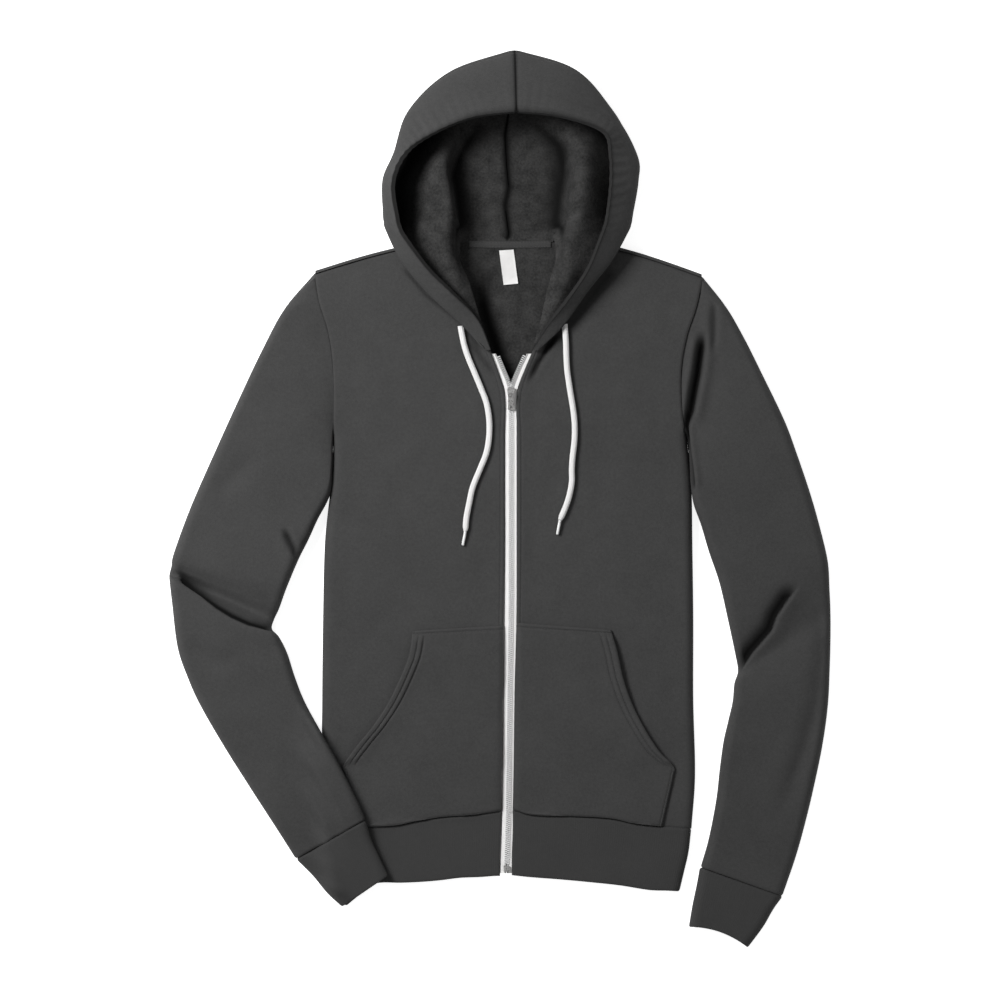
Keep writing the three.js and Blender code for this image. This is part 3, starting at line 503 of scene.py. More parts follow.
@dataclass(frozen=True)
class Knit:
    """The smooth knitted face of the fleece or the rib."""

    name: str
    level: float = 0.053
    mottle: float = 0.3
    rib: float = 0.0  # millimetres from rib to rib, 0 for a plain knit
    wale: float = 1.1
    course: float = 0.8
    shade: float = 0.08  # what is left of the tone deep in a fold

    def make(self) -> bpy.types.Material:
        """Builds the material."""
        tree = Tree(self.name, roughness=0.95, sheen_weight=0.02, sheen_roughness=0.55,
                    specular_ior_level=0.08)
        u, v = tree.cut()
        across = (u / self.wale).part() - 0.5
        vee = (v / self.course + abs(across)).wave() * 0.5 + 0.5
        loop = (0.25 - across * across) * 4.0 * (vee * 0.5 + 0.5)
        fuzz = tree.noise(0.7, 3.0, 0.7)
        height = loop * 0.55 + fuzz * 0.6
        if self.rib:
            height = height * 0.8 + ((u / self.rib).wave() * 0.5 + 0.5) * 0.6
        tree.bump(height, 0.22, 0.55)
        cloud = tree.noise(38.0, 3.0, 0.6) * 0.45 + tree.noise(3.2, 2.0, 0.6) * 0.55
        low, high = self.level * (1 - self.mottle), self.level * (1 + self.mottle)
        speck = (cloud + (fuzz - 0.5) * 1.1).held()
        nap = tree.blend(speck, grey(low), grey(high, 0.004))
        # painted shade: the base colour darkens towards this tone in folds, seams and under edges
        deep = grey(self.level * self.shade)
        tree.feed("Base Color", tree.blend(tree.hollow(), nap, deep))
        return tree.material


@dataclass(frozen=True)
class Brushed:
    """The brushed inside of the fleece, with its clumped pile."""

    name: str
    level: float = 0.036
    thin: float = 0.45  # the darkest and lightest patches, as shares of the level
    full: float = 1.5
    shade: float = 0.12  # what is left of the tone deep in a fold

    def make(self) -> bpy.types.Material:
        """Builds the material."""
        tree = Tree(self.name, roughness=0.97, sheen_weight=0.02, sheen_roughness=0.6,
                    specular_ior_level=0.05)
        tuft = tree.noise(2.6, 3.0, 0.65)
        hair = tree.noise(0.8, 2.0, 0.7)
        tree.bump(tuft * 0.7 + hair * 0.4, 0.9, 0.8)
        clump = (tree.noise(14.0, 2.0, 0.5) * 0.35 + tuft * 0.4 + hair * 0.25 - 0.5) * 3.4
        patch = (clump + 0.5).held()
        low, high = self.level * self.thin, self.level * self.full
        pile = tree.blend(patch, grey(low), grey(high, 0.01))
        # painted shade: the base colour darkens towards this tone in folds, seams and under edges
        deep = grey(self.level * self.shade)
        tree.feed("Base Color", tree.blend(tree.hollow(), pile, deep))
        return tree.material


@dataclass(frozen=True)
class Woven:
    """Plain woven tape: the zip's, the neck's or the label's."""

    name: str
    level: float = 0.80
    warm: float = 0.01
    thread: float = 0.55
    twill: float = 0.0
    shine: float = 0.75
    shaded: float = 0.0  # millimetres in from the edge that lie in the teeth's shade
    shade: float = 0.3  # the tone in that shade, as a share of the level
    shade_strength: float = 0.7

    def make(self) -> bpy.types.Material:
        """Builds the material."""
        tree = Tree(self.name, roughness=self.shine, sheen_weight=0.15)
        u, v = tree.cut()
        slant = v * self.twill
        weft = (u / self.thread + slant).wave() * 0.5 + 0.5
        warp = (v / self.thread).wave() * 0.5 + 0.5
        weave = weft * 0.6 + warp * 0.4
        tree.bump(weave, 0.12, 0.5)
        dirt = tree.noise(7.0, 2.0) * 0.6 + weave * 0.4
        low, high = self.level * 0.88, min(1.0, self.level * 1.06)
        cloth = tree.blend(dirt, grey(low, self.warm), grey(high, self.warm))
        if self.shaded:
            under = (self.shaded - u).over(0.0) * self.shade_strength
            cloth = tree.blend(under, cloth, grey(self.level * self.shade))
        tree.feed("Base Color", cloth)
        return tree.material


@dataclass(frozen=True)
class Braid:
    """White cotton braid, its strands crossing each other."""

    name: str
    low: float = 0.76
    high: float = 0.94
    strand: float = 2.1
    slope: float = 1.4

    def make(self) -> bpy.types.Material:
        """Builds the material."""
        tree = Tree(self.name, roughness=0.85, sheen_weight=0.3)
        u, v = tree.cut()
        one = ((u + v * self.slope) / self.strand).wave() * 0.5 + 0.5
        two = ((u - v * self.slope) / self.strand).wave() * 0.5 + 0.5
        over = one * two + (1 - one) * (1 - two)
        yarn = (v / 0.35 + u / 0.6).wave() * 0.5 + 0.5
        tree.bump(over * 0.8 + yarn * 0.2, 0.35, 0.8)
        tone = over * 0.6 + tree.noise(4.0) * 0.4
        cotton = tree.blend(tone, grey(self.low, 0.006), grey(self.high, 0.008))
        tree.feed("Base Color", cotton)
        return tree.material


@dataclass(frozen=True)
class Moulded:
    """White moulded teeth or a plastic end."""

    name: str
    level: float = 0.88

    def make(self) -> bpy.types.Material:
        """Builds the material."""
        tree = Tree(self.name, roughness=0.32, specular_ior_level=0.5)
        tone = tree.noise(2.2, 2.0)
        tree.feed("Base Color", tree.blend(tone, grey(self.level * 0.93), grey(self.level)))
        tree.bump(tree.noise(0.5), 0.03, 0.3)
        return tree.material


@dataclass(frozen=True)
class Plated:
    """Nickel plate, rubbed in patches: its roughness varies, and its tone carries painted
    reflection.
    """

    name: str
    # the dimmest and brightest tones of the painted reflection
    low: float = 0.31
    high: float = 0.97

    def make(self) -> bpy.types.Material:
        """Builds the material."""
        tree = Tree(self.name, metallic=1.0)
        rub_and_painted_reflection = ((tree.noise(1.2, 3.0, 0.65) - 0.5) * 2.4 + 0.5).held()
        tree.feed("Roughness", 0.22 + rub_and_painted_reflection * 0.22)
        # painted reflection: the tone swings between them with the same patches
        tree.feed("Base Color", tree.blend(rub_and_painted_reflection, grey(self.low, 0.015), grey(self.high, 0.012)))
        tree.bump(tree.noise(0.7, 2.0), 0.07, 0.5)
        return tree.material


@dataclass(frozen=True)
class Thread:
    """Sewing thread, two plies twisted."""

    name: str
    level: float = 0.036

    def make(self) -> bpy.types.Material:
        """Builds the material."""
        tree = Tree(self.name, roughness=0.7, sheen_weight=0.08)
        tone = tree.noise(0.9, 2.0)
        tree.feed("Base Color", tree.blend(tone, grey(self.level * 0.8), grey(self.level * 1.3)))
        tree.bump(tree.noise(0.3), 0.05, 0.5)
        return tree.material


@dataclass
class Wardrobe:
    """Every finish, made once."""

    made: dict[str, bpy.types.Material] = field(default_factory=dict)

    def get(self, finish: Any) -> bpy.types.Material:
        """The material of a finish."""
        if finish.name not in self.made:
            self.made[finish.name] = finish.make()
        return self.made[finish.name]


FACE = Knit("fleece_face")
INSIDE = Brushed("fleece_inside")
RIB = Knit("rib_face", level=0.047, mottle=0.14, rib=2.4)
TAPE = Woven("zip_tape_weave", level=0.88, shaded=2.3)
NECK_WEAVE = Woven("neck_tape_weave", level=0.026, thread=0.8, twill=0.9)
LABEL_SATIN = Woven("label_satin", level=0.8, thread=0.3, shine=0.5)
COTTON = Braid("cord_braid")
TEETH = Moulded("zip_teeth")
NICKEL = Plated("nickel_plate")
SEWING = Thread("sewing_thread")
WARDROBE = Wardrobe()


# Meshes
def grid_normals(points: Array, closed: bool) -> Array:
    """Unit normals of a grid of points, from its rows crossed with its columns.

    Args:
        points: The grid, row by row.
        closed: Whether its last column joins its first.

    Returns:
        A normal for each point.
    """
    down = np.empty_like(points)
    down[1:-1] = points[2:] - points[:-2]
    down[0], down[-1] = points[1] - points[0], points[-1] - points[-2]
    if closed:
        across = np.roll(points, -1, 1) - np.roll(points, 1, 1)
    else:
        across = np.empty_like(points)
        across[:, 1:-1] = points[:, 2:] - points[:, :-2]
        across[:, 0] = points[:, 1] - points[:, 0]
        across[:, -1] = points[:, -1] - points[:, -2]
    return unit(np.cross(down, across))


def arc(points: Array, axis: int) -> Array:
    """Mean distance run along a grid.

    Args:
        points: The grid, row by row.
        axis: 0 to run from row to row, 1 from column to column.

    Returns:
        The distance at each row or column, from 0.
    """
    legs = np.linalg.norm(np.diff(points, axis=axis), axis=-1)
    mean = legs.mean(axis=1 - axis)
    return np.concatenate([[0.0], np.cumsum(mean)])


def add_mesh(
    name: str, points: Array, faces: Any, finishes: Sequence[Any],
    uvs: Array | None = None, looks: Array | None = None, body: str = GARMENT,
    sharp: float = 50.0,
) -> bpy.types.Object:
    """Makes a mesh object that rides on a body.

    Args:
        name: The piece's name.
        points: Its vertices, in millimetres.
        faces: Its faces as rows of vertex numbers.
        finishes: Its materials, in order.
        uvs: A pair for each face corner, in metres.
        looks: The material number of each face.
        body: The CAD body that it rides on.
        sharp: Edges over this many degrees are creased.

    Returns:
        The object.
    """
    mesh = bpy.data.meshes.new(name)
    mesh.from_pydata((np.asarray(points) * MM).tolist(), [], [list(map(int, f)) for f in faces])
    for finish in finishes:
        mesh.materials.append(WARDROBE.get(finish))
    if looks is not None:
        mesh.polygons.foreach_set("material_index", np.asarray(looks, np.int32))
    layer = mesh.uv_layers.new(name="cut")
    if uvs is not None:
        layer.data.foreach_set("uv", np.asarray(uvs, np.float32).ravel())
    mesh.polygons.foreach_set("use_smooth", np.ones(len(mesh.polygons), bool))
    mesh.set_sharp_from_angle(angle=math.radians(sharp))
    mesh.update()
    obj = bpy.data.objects.new(name, mesh)
    bpy.context.scene.collection.objects.link(obj)
    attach(obj, body)
    LOG.info("%s: %d vertices, %d faces", name, len(mesh.vertices), len(mesh.polygons))
    return obj


@dataclass(frozen=True)
class Cut:
    """A piece's flat cut: its width and length and its area, in metres, and what it lies on."""

    flat: tuple[float, float]
    area: float
    rests_on: tuple[str, ...] = ()


CUTS = {
    "back_cloth": Cut((0.43, 0.66), 0.262),
    "front_right_cloth": Cut((0.21, 0.66), 0.121, ("back_cloth",)),
    "front_left_cloth": Cut((0.21, 0.66), 0.118, ("back_cloth",)),
    "sleeve_right_cloth": Cut((0.42, 0.59), 0.151, ("back_cloth",)),
    "sleeve_left_cloth": Cut((0.42, 0.60), 0.149, ("back_cloth",)),
    "cuff_right_cloth": Cut((0.18, 0.075), 0.0117),
    "cuff_left_cloth": Cut((0.20, 0.070), 0.0117),
    "waistband_cloth": Cut((0.80, 0.070), 0.051),
    "pocket_right_cloth": Cut((0.18, 0.222), 0.0305, ("front_right_cloth",)),
    "pocket_left_cloth": Cut((0.18, 0.224), 0.0308, ("front_left_cloth",)),
    "hood_right_cloth": Cut((0.27, 0.43), 0.057, ("back_cloth",)),
    "hood_left_cloth": Cut((0.27, 0.43), 0.057, ("back_cloth",)),
}


@dataclass
class Cloth:
    """One sewn piece: a grid of outer points and the wall laid to its inside."""

    name: str
    outer: Array
    wall: Any = WALL
    closed: bool = False
    inward: Array | None = None
    relief: Array | None = None
    finishes: tuple[Any, Any] = (FACE, INSIDE)
    slot: Slot = Slot.FLEECE
    # painted shade at each point, from 0 to 1, which darkens the base colour
    hollow: Array | None = None

    def build(self) -> bpy.types.Object:
        """Thickens the grid into a closed sheet and stands it in for its solid.

        Returns:
            The object.
        """
        outer, inward = self.outer.copy(), self.inward
        if inward is None:
            inward = grid_normals(outer, self.closed)
        if self.relief is not None:
            outer -= inward * self.relief[..., None]
            outer[..., 2] = np.maximum(outer[..., 2], 0.0)
        wall = np.broadcast_to(np.asarray(self.wall, float), outer.shape[:2])
        inner = outer + inward * wall[..., None]
        inner[..., 2] = np.maximum(inner[..., 2], 0.0)
        rows, cols = outer.shape[:2]
        points = np.concatenate([outer.reshape(-1, 3), inner.reshape(-1, 3)])
        run = np.arange(cols if self.closed else cols - 1)
        i, j = np.meshgrid(np.arange(rows - 1), run, indexing="ij")
        k = (j + 1) % cols

        def at(face: int, a: Any, b: Any) -> Any:
            """Numbers of the points at rows a and columns b, face 0 being the outer one."""
            return face * rows * cols + a * cols + b

        quads = [
            np.stack([at(0, i, j), at(0, i, k), at(0, i + 1, k), at(0, i + 1, j)], -1),
            np.stack([at(1, i, j), at(1, i + 1, j), at(1, i + 1, k), at(1, i, k)], -1),
        ]
        u, v = arc(self.outer, 1), arc(self.outer, 0)
        if self.closed:
            u = np.append(u, u[-1] + u[1])

        def corner(a: Array, b: Array) -> Array:
            """Flat places of the points at rows a and columns b, in metres."""
            return np.stack([u[b], v[a]], -1) * MM

        uvs = [
            np.stack([corner(i, j), corner(i, j + 1), corner(i + 1, j + 1), corner(i + 1, j)], -2),
            np.stack([corner(i, j), corner(i + 1, j), corner(i + 1, j + 1), corner(i, j + 1)], -2),
        ]
        looks = [np.zeros(i.size), np.ones(i.size)]
        quads, uvs = [q.reshape(-1, 4) for q in quads], [w.reshape(-1, 4, 2) for w in uvs]
        rims: list[tuple[Array, Array, Array, Array]] = []
        j, k = run, (run + 1) % cols
        rims.append((at(0, 0, k), at(0, 0, j), at(1, 0, j), at(1, 0, k)))
        last = rows - 1
        rims.append((at(0, last, j), at(0, last, k), at(1, last, k), at(1, last, j)))
        if not self.closed:
            a = np.arange(rows - 1)
            rims.append((at(0, a, 0), at(0, a + 1, 0), at(1, a + 1, 0), at(1, a, 0)))
            end = cols - 1
            rims.append((at(0, a + 1, end), at(0, a, end), at(1, a, end), at(1, a + 1, end)))
        for rim in rims:
            quads.append(np.stack(rim, -1))
            uvs.append(np.zeros((len(rim[0]), 4, 2)))
            looks.append(np.zeros(len(rim[0])))
        faces, corners = np.concatenate(quads), np.concatenate(uvs)
        tri = points[faces[:, :3]]
        rest = points[faces[:, [0, 2, 3]]]
        volume = sum((t[:, 0] * np.cross(t[:, 1], t[:, 2])).sum() for t in (tri, rest))
        if volume < 0:
            faces, corners = faces[:, ::-1], corners[:, ::-1]
        obj = add_mesh(self.name, points, faces, self.finishes, corners,
                       np.concatenate(looks))
        # the painted shade goes on both layers as a point attribute
        if self.hollow is not None:
            depth = np.broadcast_to(self.hollow, outer.shape[:2]).ravel()
            layer = obj.data.attributes.new("hollow", "FLOAT", "POINT")
            layer.data.foreach_set("value", np.concatenate([depth, depth]).astype(np.float32))
        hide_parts(self.name.replace("_cloth", ""))
        cut = CUTS.get(self.name)
        return obj


@dataclass(frozen=True)
class Crease:
    """A crease placed along pixels of the photograph."""

    path: tuple[tuple[float, float], ...]
    depth: float = 1.5
    width: float = 4.0
    kind: Fold = Fold.VALLEY
    side: int = 1  # which side of the line a lap stands up on: 1 is left of its run
    taper: float = 0.3
    pool: float = 0.9  # how far a lap's low side reaches, in widths
    painted_dark: float = 0.0  # how strong the painted shade in the fold is, from 0 to 1

    def hollow(self, x: Array, y: Array) -> Array:
        """How much painted shade each place gets, most in the closed part of the fold.

        Args:
            x: Places across, in millimetres.
            y: Places up the garment.

        Returns:
            The painted shade at each, from 0 to 1.
        """
        off, fade = self.follow(x, y)
        w = self.width
        if self.kind is Fold.LAP:
            d = off * self.side
            inside = np.where(d > -0.25 * w, smooth((0.1 * w - d) / (0.35 * w)),
                              np.exp(-((d + 0.25 * w) / (self.pool * w)) ** 2))
            return self.painted_dark * inside * fade
        return self.painted_dark * np.exp(-((off / (0.8 * w)) ** 2)) * fade

    def lie(self, x: Array, y: Array) -> Array:
        """How far the crease moves the cloth out.

        Args:
            x: Places across, in millimetres.
            y: Places up the garment.

        Returns:
            The move at each, in millimetres.
        """
        off, fade = self.follow(x, y)
        w = self.width
        if self.kind is Fold.VALLEY:
            sides = 0.35 * np.exp(-(((np.abs(off) - 2.1 * w) / (1.4 * w)) ** 2))
            return self.depth * (sides - np.exp(-((off / w) ** 2))) * fade
        d = off * self.side
        stand = np.exp(-(np.maximum(d - 0.4 * w, 0) / (2.6 * w)) ** 2)
        stand = stand * smooth((d + 0.3 * w) / (0.7 * w))
        near = np.exp(-((d + 0.7 * w) / (0.6 * w)) ** 2)
        far = np.exp(-((d + 0.7 * w) / (self.pool * w)) ** 2)
        return self.depth * (0.5 * stand - 0.9 * np.where(d > -0.7 * w, near, far)) * fade

    def follow(self, x: Array, y: Array) -> tuple[Array, Array]:
        """Finds places beside the crease.

        Args:
            x: Places across, in millimetres.
            y: Places up the garment.

        Returns:
            How far each is to the left of the crease, and how strong the crease is there.
        """
        route = np.array([seen(*p) for p in self.path])
        legs = np.linalg.norm(np.diff(route, axis=0), axis=1)
        total, run = legs.sum(), 0.0
        best = np.full(x.shape, 1e9)
        off, at = np.zeros(x.shape), np.zeros(x.shape)
        for a, b, leg in zip(route[:-1], route[1:], legs):
            d = (b - a) / leg
            s = np.clip((x - a[0]) * d[0] + (y - a[1]) * d[1], 0, leg)
            dx, dy = x - a[0] - s * d[0], y - a[1] - s * d[1]
            away = np.hypot(dx, dy)
            near = away < best
            best = np.where(near, away, best)
            off = np.where(near, np.where(d[0] * dy - d[1] * dx > 0, away, -away), off)
            at = np.where(near, (run + s) / total, at)
            run += leg
        return off, smooth(np.minimum(at, 1 - at) / self.taper)


def creased(creases: Sequence[Crease], x: Array, y: Array) -> Array:
    """All of a piece's creases together."""
    return sum((crease.lie(x, y) for crease in creases), np.zeros(x.shape))


def painted_shade_of(creases: Sequence[Crease], x: Array, y: Array) -> Array:
    """The painted shade of all of a piece's creases together, from 0 to 1."""
    return share(sum((crease.hollow(x, y) for crease in creases), np.zeros(x.shape)))


def ripple(x: Array, y: Array, length: float, seed: int, count: int = 7) -> Array:
    """A soft uneven swell, the same each run.

    Args:
        x: Places across, in millimetres.
        y: Places up the garment.
        length: The middle wave length.
        seed: The random draw's seed.
        count: How many waves are added up.

    Returns:
        The swell at each place, about -1 to 1.
    """
    rng = np.random.default_rng(seed)
    total = np.zeros(x.shape)
    for _ in range(count):
        angle, phase = rng.uniform(0, math.pi), rng.uniform(0, 2 * math.pi)
        k = 2 * math.pi / (length * rng.uniform(0.6, 1.7))
        total += np.sin(k * (x * math.cos(angle) + y * math.sin(angle)) + phase)
    return total / count * 1.4


def rolled(distance: Array, depth: float = 0.9, reach: float = 1.8) -> Array:
    """How a sewn edge rolls down into its seam."""
    return -depth * (1 - smooth(distance / reach))


def groove(distance: Array, depth: float = 0.45, width: float = 0.7) -> Array:
    """A stitched line pulled into the cloth."""
    return -depth * np.exp(-((distance / width) ** 2))


def wander(wave: Sequence[tuple[float, float]], x: Array) -> Array:
    """How far an edge wanders up from its straight line.

    Args:
        wave: Places across and pixels down of the edge in the photograph.
        x: Places across, in millimetres.

    Returns:
        The rise at each place, in millimetres.
    """
    px, down = np.array(wave).T
    row = np.interp(x / PIXEL + 500, px, np.arange(len(px)))
    return -PIXEL * along(down[:, None], row)[..., 0]


def ends_fine(count: int, first: Sequence[float], last: Sequence[float], steps: int) -> Array:
    """Row numbers from 0 to count, finer close to both ends.

    Args:
        count: The last row number.
        first: The first few, up from 0.
        last: How far the last few are from the end.
        steps: How many even ones lie between.

    Returns:
        The row numbers.
    """
    middle = np.linspace(first[-1], count - last[-1], steps)
    return np.concatenate([first[:-1], middle, count - np.array(last[:-1])[::-1]])


def face_height(rows: Rows, x: Array, y: Array) -> Array:
    """Height of a front's face, found between its rungs by halving.

    Args:
        rows: The front's measured rows.
        x: Places across, in millimetres.
        y: Places up the garment.

    Returns:
        The height under each place.
    """
    x, y = np.asarray(x, float), np.asarray(y, float)

    def side(t: Array) -> Array:
        """Which side of rung t each place is on, by sign."""
        r = rows.at(t)
        return (r["out_x"] - r["in_x"]) * (y - r["in_y"]) - (
            (r["out_y"] - r["in_y"]) * (x - r["in_x"])
        )

    low = np.zeros(x.shape)
    high = np.full(x.shape, len(rows.values) - 1.0)
    sign = np.sign(side(low))
    sign = np.where(sign == 0, 1.0, sign)
    for _ in range(HALVINGS):
        middle = (low + high) / 2
        under = side(middle) * sign > 0
        low, high = np.where(under, middle, low), np.where(under, high, middle)
    return rows.at(low)["high"]


def cloth_height(front: Rows, x: Array, y: Array) -> Array:
    """Height of the waistband or the front.

    Args:
        front: The front's measured rows.
        x: Places across, in millimetres.
        y: Places up the garment.

    Returns:
        The height under each place.
    """
    top, foot = BAND.row(0), BAND.row(3)
    down = share((top["zip_right_y"] - y) / (top["zip_right_y"] - foot["zip_right_y"]))
    band = mix(top["high"], foot["high"], down)
    return np.where(y < top["zip_right_y"], band, face_height(front, x, y))


ROUND = np.linspace(0, math.pi / 2, ROUND_STEPS)
ROUND_IN = EDGE_ROUND * (1 - np.cos(ROUND))
ROUND_RISE = np.sin(ROUND)


@dataclass
class Half:
    """What belongs to one side of the garment."""

    name: str
    side: int
    front: Rows
    sleeve: Rows
    cuff: Rows
    pocket: Rows
    hood: Rows
    cord: list[tuple[float, float]]
    tip_end: tuple[float, float]
    zip_column: str
    front_creases: tuple[Crease, ...] = ()
    sleeve_creases: tuple[Crease, ...] = ()
    hood_creases: tuple[Crease, ...] = ()


def shoulder_bow(x: Array) -> Array:
    """How far the shoulder seams bow up between neck and tip.

    Args:
        x: Places across, in millimetres.

    Returns:
        The bow at each, 0 past the seams' ends.
    """
    total = np.zeros(np.shape(x))
    for rows in (FRONT_RIGHT, FRONT_LEFT):
        end = rows.row(SHOULDER)
        f = share((x - end["out_x"]) / (end["in_x"] - end["out_x"]))
        total = total + SHOULDER_BOW * np.sin(math.pi * f)
    return total


@dataclass
class FrontPanel:
    """A front, from its zip and neckline to its side seam and armhole."""

    half: Half
    zip_stitch: float = 4.4
    stitched_to: float = 150  # where the zip's topstitching ends, up the garment
    flats: int = 60
    edge_stations: tuple[float, ...] = (
        12.0, 9.0, 7.0, 5.8, 5.0, 4.4, 3.8, 3.0, 2.0, 1.2, 0.5, 0.0,
    )

    def rungs(self) -> Array:
        """Row numbers from hem to shoulder."""
        return ends_fine(SHOULDER, (0, 0.01, 0.025, 0.05), (0, 0.02, 0.05, 0.1), 196)

    def grid(self) -> tuple[Array, Array, Array]:
        """Lays the front out.

        Returns:
            The outer points, and how far each is from the side edge and from the zip edge.
        """
        t = self.rungs()[:, None]
        r = self.half.front.at(t)
        width = np.hypot(r["in_x"] - r["out_x"], r["in_y"] - r["out_y"])
        near = np.array(self.edge_stations)
        flat = mix(EDGE_ROUND, width - near[0], np.linspace(0, 1, self.flats)[None, 1:-1])
        inset = np.concatenate([
            np.broadcast_to(ROUND_IN, (len(t), ROUND_STEPS)), flat, width - near[None, :],
        ], axis=1)
        rise = np.concatenate([ROUND_RISE, np.ones(inset.shape[1] - ROUND_STEPS)])
        edge = mix(SEAM_SHARE * r["high"], r["high"], rise)
        z = mix(r["high"], edge, share(r["rounds"]))
        f = inset / width
        x, y = mix(r["out_x"], r["in_x"], f), mix(r["out_y"], r["in_y"], f)
        y = y + shoulder_bow(x) * smooth(t - SHOULDER + 1)
        y = y + wander(HEM_WAVE, x) * smooth(1 - t / 0.6)
        return np.stack([x, y, z], -1), inset, width - inset

    def build(self) -> None:
        """Makes the front and its topstitching along the zip."""
        points, inset, from_zip = self.grid()
        side = self.half.side
        inward = grid_normals(points, False)
        inward *= np.where(inward[..., 2:] < 0, 1, -1)
        t = self.rungs()
        armhole = (t > UNDERARM)[:, None] & (inset < 0.01)
        side_seam = (t <= UNDERARM)[:, None] & (inset < 0.01)
        inward[armhole] = DOWN
        inward[side_seam] = (-side, 0, 0)
        inward[0] = inward[-1] = DOWN
        x, y = points[..., 0], points[..., 1]
        relief = 0.9 * (ripple(x, y, 150, 4 + side) - 1)
        relief += 0.25 * (ripple(x, y, 34, 14 + side) - 1)
        relief *= smooth(inset / 30) * smooth(from_zip / 22)
        relief += creased(self.half.front_creases, x, y)
        down, up = arc(points, 0), arc(points, 0)[-1] - arc(points, 0)
        relief += rolled(down)[:, None] + rolled(up)[:, None]
        relief += rolled(inset) * (t > UNDERARM - 0.5)[:, None]
        relief += rolled(from_zip, 0.8, 1.4)
        relief += groove(from_zip - self.zip_stitch) + 0.25 * (from_zip < self.zip_stitch)
        name = f"front_{self.half.name}"
        # painted shade in the front's creases, and the hood's painted shadow along its edge
        hollow = painted_shade_of(self.half.front_creases, x, y)
        Cloth(name + "_cloth", points, inward=inward, relief=relief, hollow=hollow).build()
        line = points - inward * relief[..., None]
        column = ROUND_STEPS + self.flats - 2 + self.edge_stations.index(self.zip_stitch)
        route = line[2:-2, column]
        sew(f"zip_topstitch_{self.half.name}", [route[route[:, 1] < self.stitched_to]])


def shoulder_line(x: Array) -> Array:
    """The back's top line, straight over the neck between the two high points.

    Args:
        x: Places across, in millimetres.

    Returns:
        The line's place up the garment at each.
    """
    r, l = FRONT_RIGHT.row(SHOULDER), FRONT_LEFT.row(SHOULDER)
    right = mix(r["out_y"], r["in_y"], (x - r["out_x"]) / (r["in_x"] - r["out_x"]))
    left = mix(l["out_y"], l["in_y"], (l["out_x"] - x) / (l["out_x"] - l["in_x"]))
    line = np.where(x < r["in_x"], right, np.where(x > l["in_x"], left, NECK_Y))
    return line + shoulder_bow(x)


@dataclass
class BackPanel:
    """The one back panel, folded over at the shoulders."""

    rungs: int = 130
    flats: int = 100
    per_fold_row: int = 4
    # a painted shadow of the right front's edge on the back's inside, in the open neck
    painted_shadows: tuple[Crease, ...] = (
        Crease(((474, 270), (483, 300), (490, 328), (498, 352), (508, 376), (512, 392)), 0, 11.0,
               painted_dark=1.0, taper=0.12),
    )

    def across(self, t: Array) -> Array:
        """Rungs of the panel below its shoulders.

        Args:
            t: Row numbers.

        Returns:
            The points of each rung, from side to side.
        """
        t = np.asarray(t, float).reshape(-1, 1)
        r, l = FRONT_RIGHT.at(t), FRONT_LEFT.at(t)
        width = l["out_x"] - r["out_x"]
        ends = np.broadcast_to(ROUND_IN, (len(t), ROUND_STEPS))
        flat = mix(EDGE_ROUND, width - EDGE_ROUND, np.linspace(0, 1, self.flats)[None, 1:-1])
        d = np.concatenate([ends, flat, width - ends[:, ::-1]], axis=1)
        rise = np.concatenate([ROUND_RISE, np.ones(self.flats - 2), ROUND_RISE[::-1]])
        seam = SEAM_SHARE * r["high"] - SEAM
        f = d / width
        return np.stack([
            mix(r["out_x"], l["out_x"], f), mix(r["out_y"], l["out_y"], f),
            seam * (1 - rise) * share(r["rounds"]),
        ], -1)

    def build(self) -> None:
        """Makes the back."""
        t = np.linspace(0, SHOULDER - 1, self.rungs)
        flat = self.across(t)
        top = self.across(SHOULDER - TIP_SHY)[0]
        rows = (len(SHOULDER_FOLD.values) - 1) * self.per_fold_row
        fold = SHOULDER_FOLD.at(np.linspace(0, len(SHOULDER_FOLD.values) - 1, rows + 1)[:, None])
        beyond = np.maximum(
            FRONT_RIGHT.row(SHOULDER)["in_x"] - top[:, 0],
            top[:, 0] - FRONT_LEFT.row(SHOULDER)["in_x"],
        )
        folded = smooth(beyond / NECK_BLEND)[None, :]
        x = np.broadcast_to(top[:, 0], (rows + 1, len(top)))
        y = shoulder_line(x) - mix(fold["neck_inset"], fold["inset"], folded)
        points = np.concatenate([flat, np.stack([x, y, fold["z"] * folded], -1)])
        inward = -grid_normals(points, False)
        turn = points[-1, :, 2] / SHOULDER_FOLD.row(-1)["z"] * math.pi
        inward[-1] = np.stack([np.zeros_like(turn), -np.sin(turn), np.cos(turn)], -1)
        inward[:-1][points[:-1, :, 2] < 0.05] = UP
        inward[0] = UP
        sides = np.arange(len(points)) <= np.searchsorted(t, UNDERARM)
        inward[sides, 0], inward[sides, -1] = (1, 0, 0), (-1, 0, 0)
        # the painted shadow of the right front's edge
        hollow = painted_shade_of(self.painted_shadows, points[..., 0], points[..., 1])
        Cloth("back_cloth", points, inward=inward, hollow=hollow).build()


def tube_stations(width: Array) -> tuple[Array, Array]:
    """Where points lie across a laid tube, finer round both ends.

    Args:
        width: The tube's width at each ring.

    Returns:
        The shares across, and how far each point has risen round the edge.
    """
    width = np.asarray(width, float).reshape(-1, 1)
    flat = np.linspace(0, 1, TUBE_FLATS + 1)[None, 1:-1]
    ends = ROUND_IN[None, :] / width
    middle = mix(EDGE_ROUND, width - EDGE_ROUND, flat) / width
    q = np.concatenate([ends, middle, 1 - ends[:, ::-1]], axis=1)
    rise = np.concatenate([ROUND_RISE, np.ones(TUBE_FLATS - 1), ROUND_RISE[::-1]])
    return q, rise


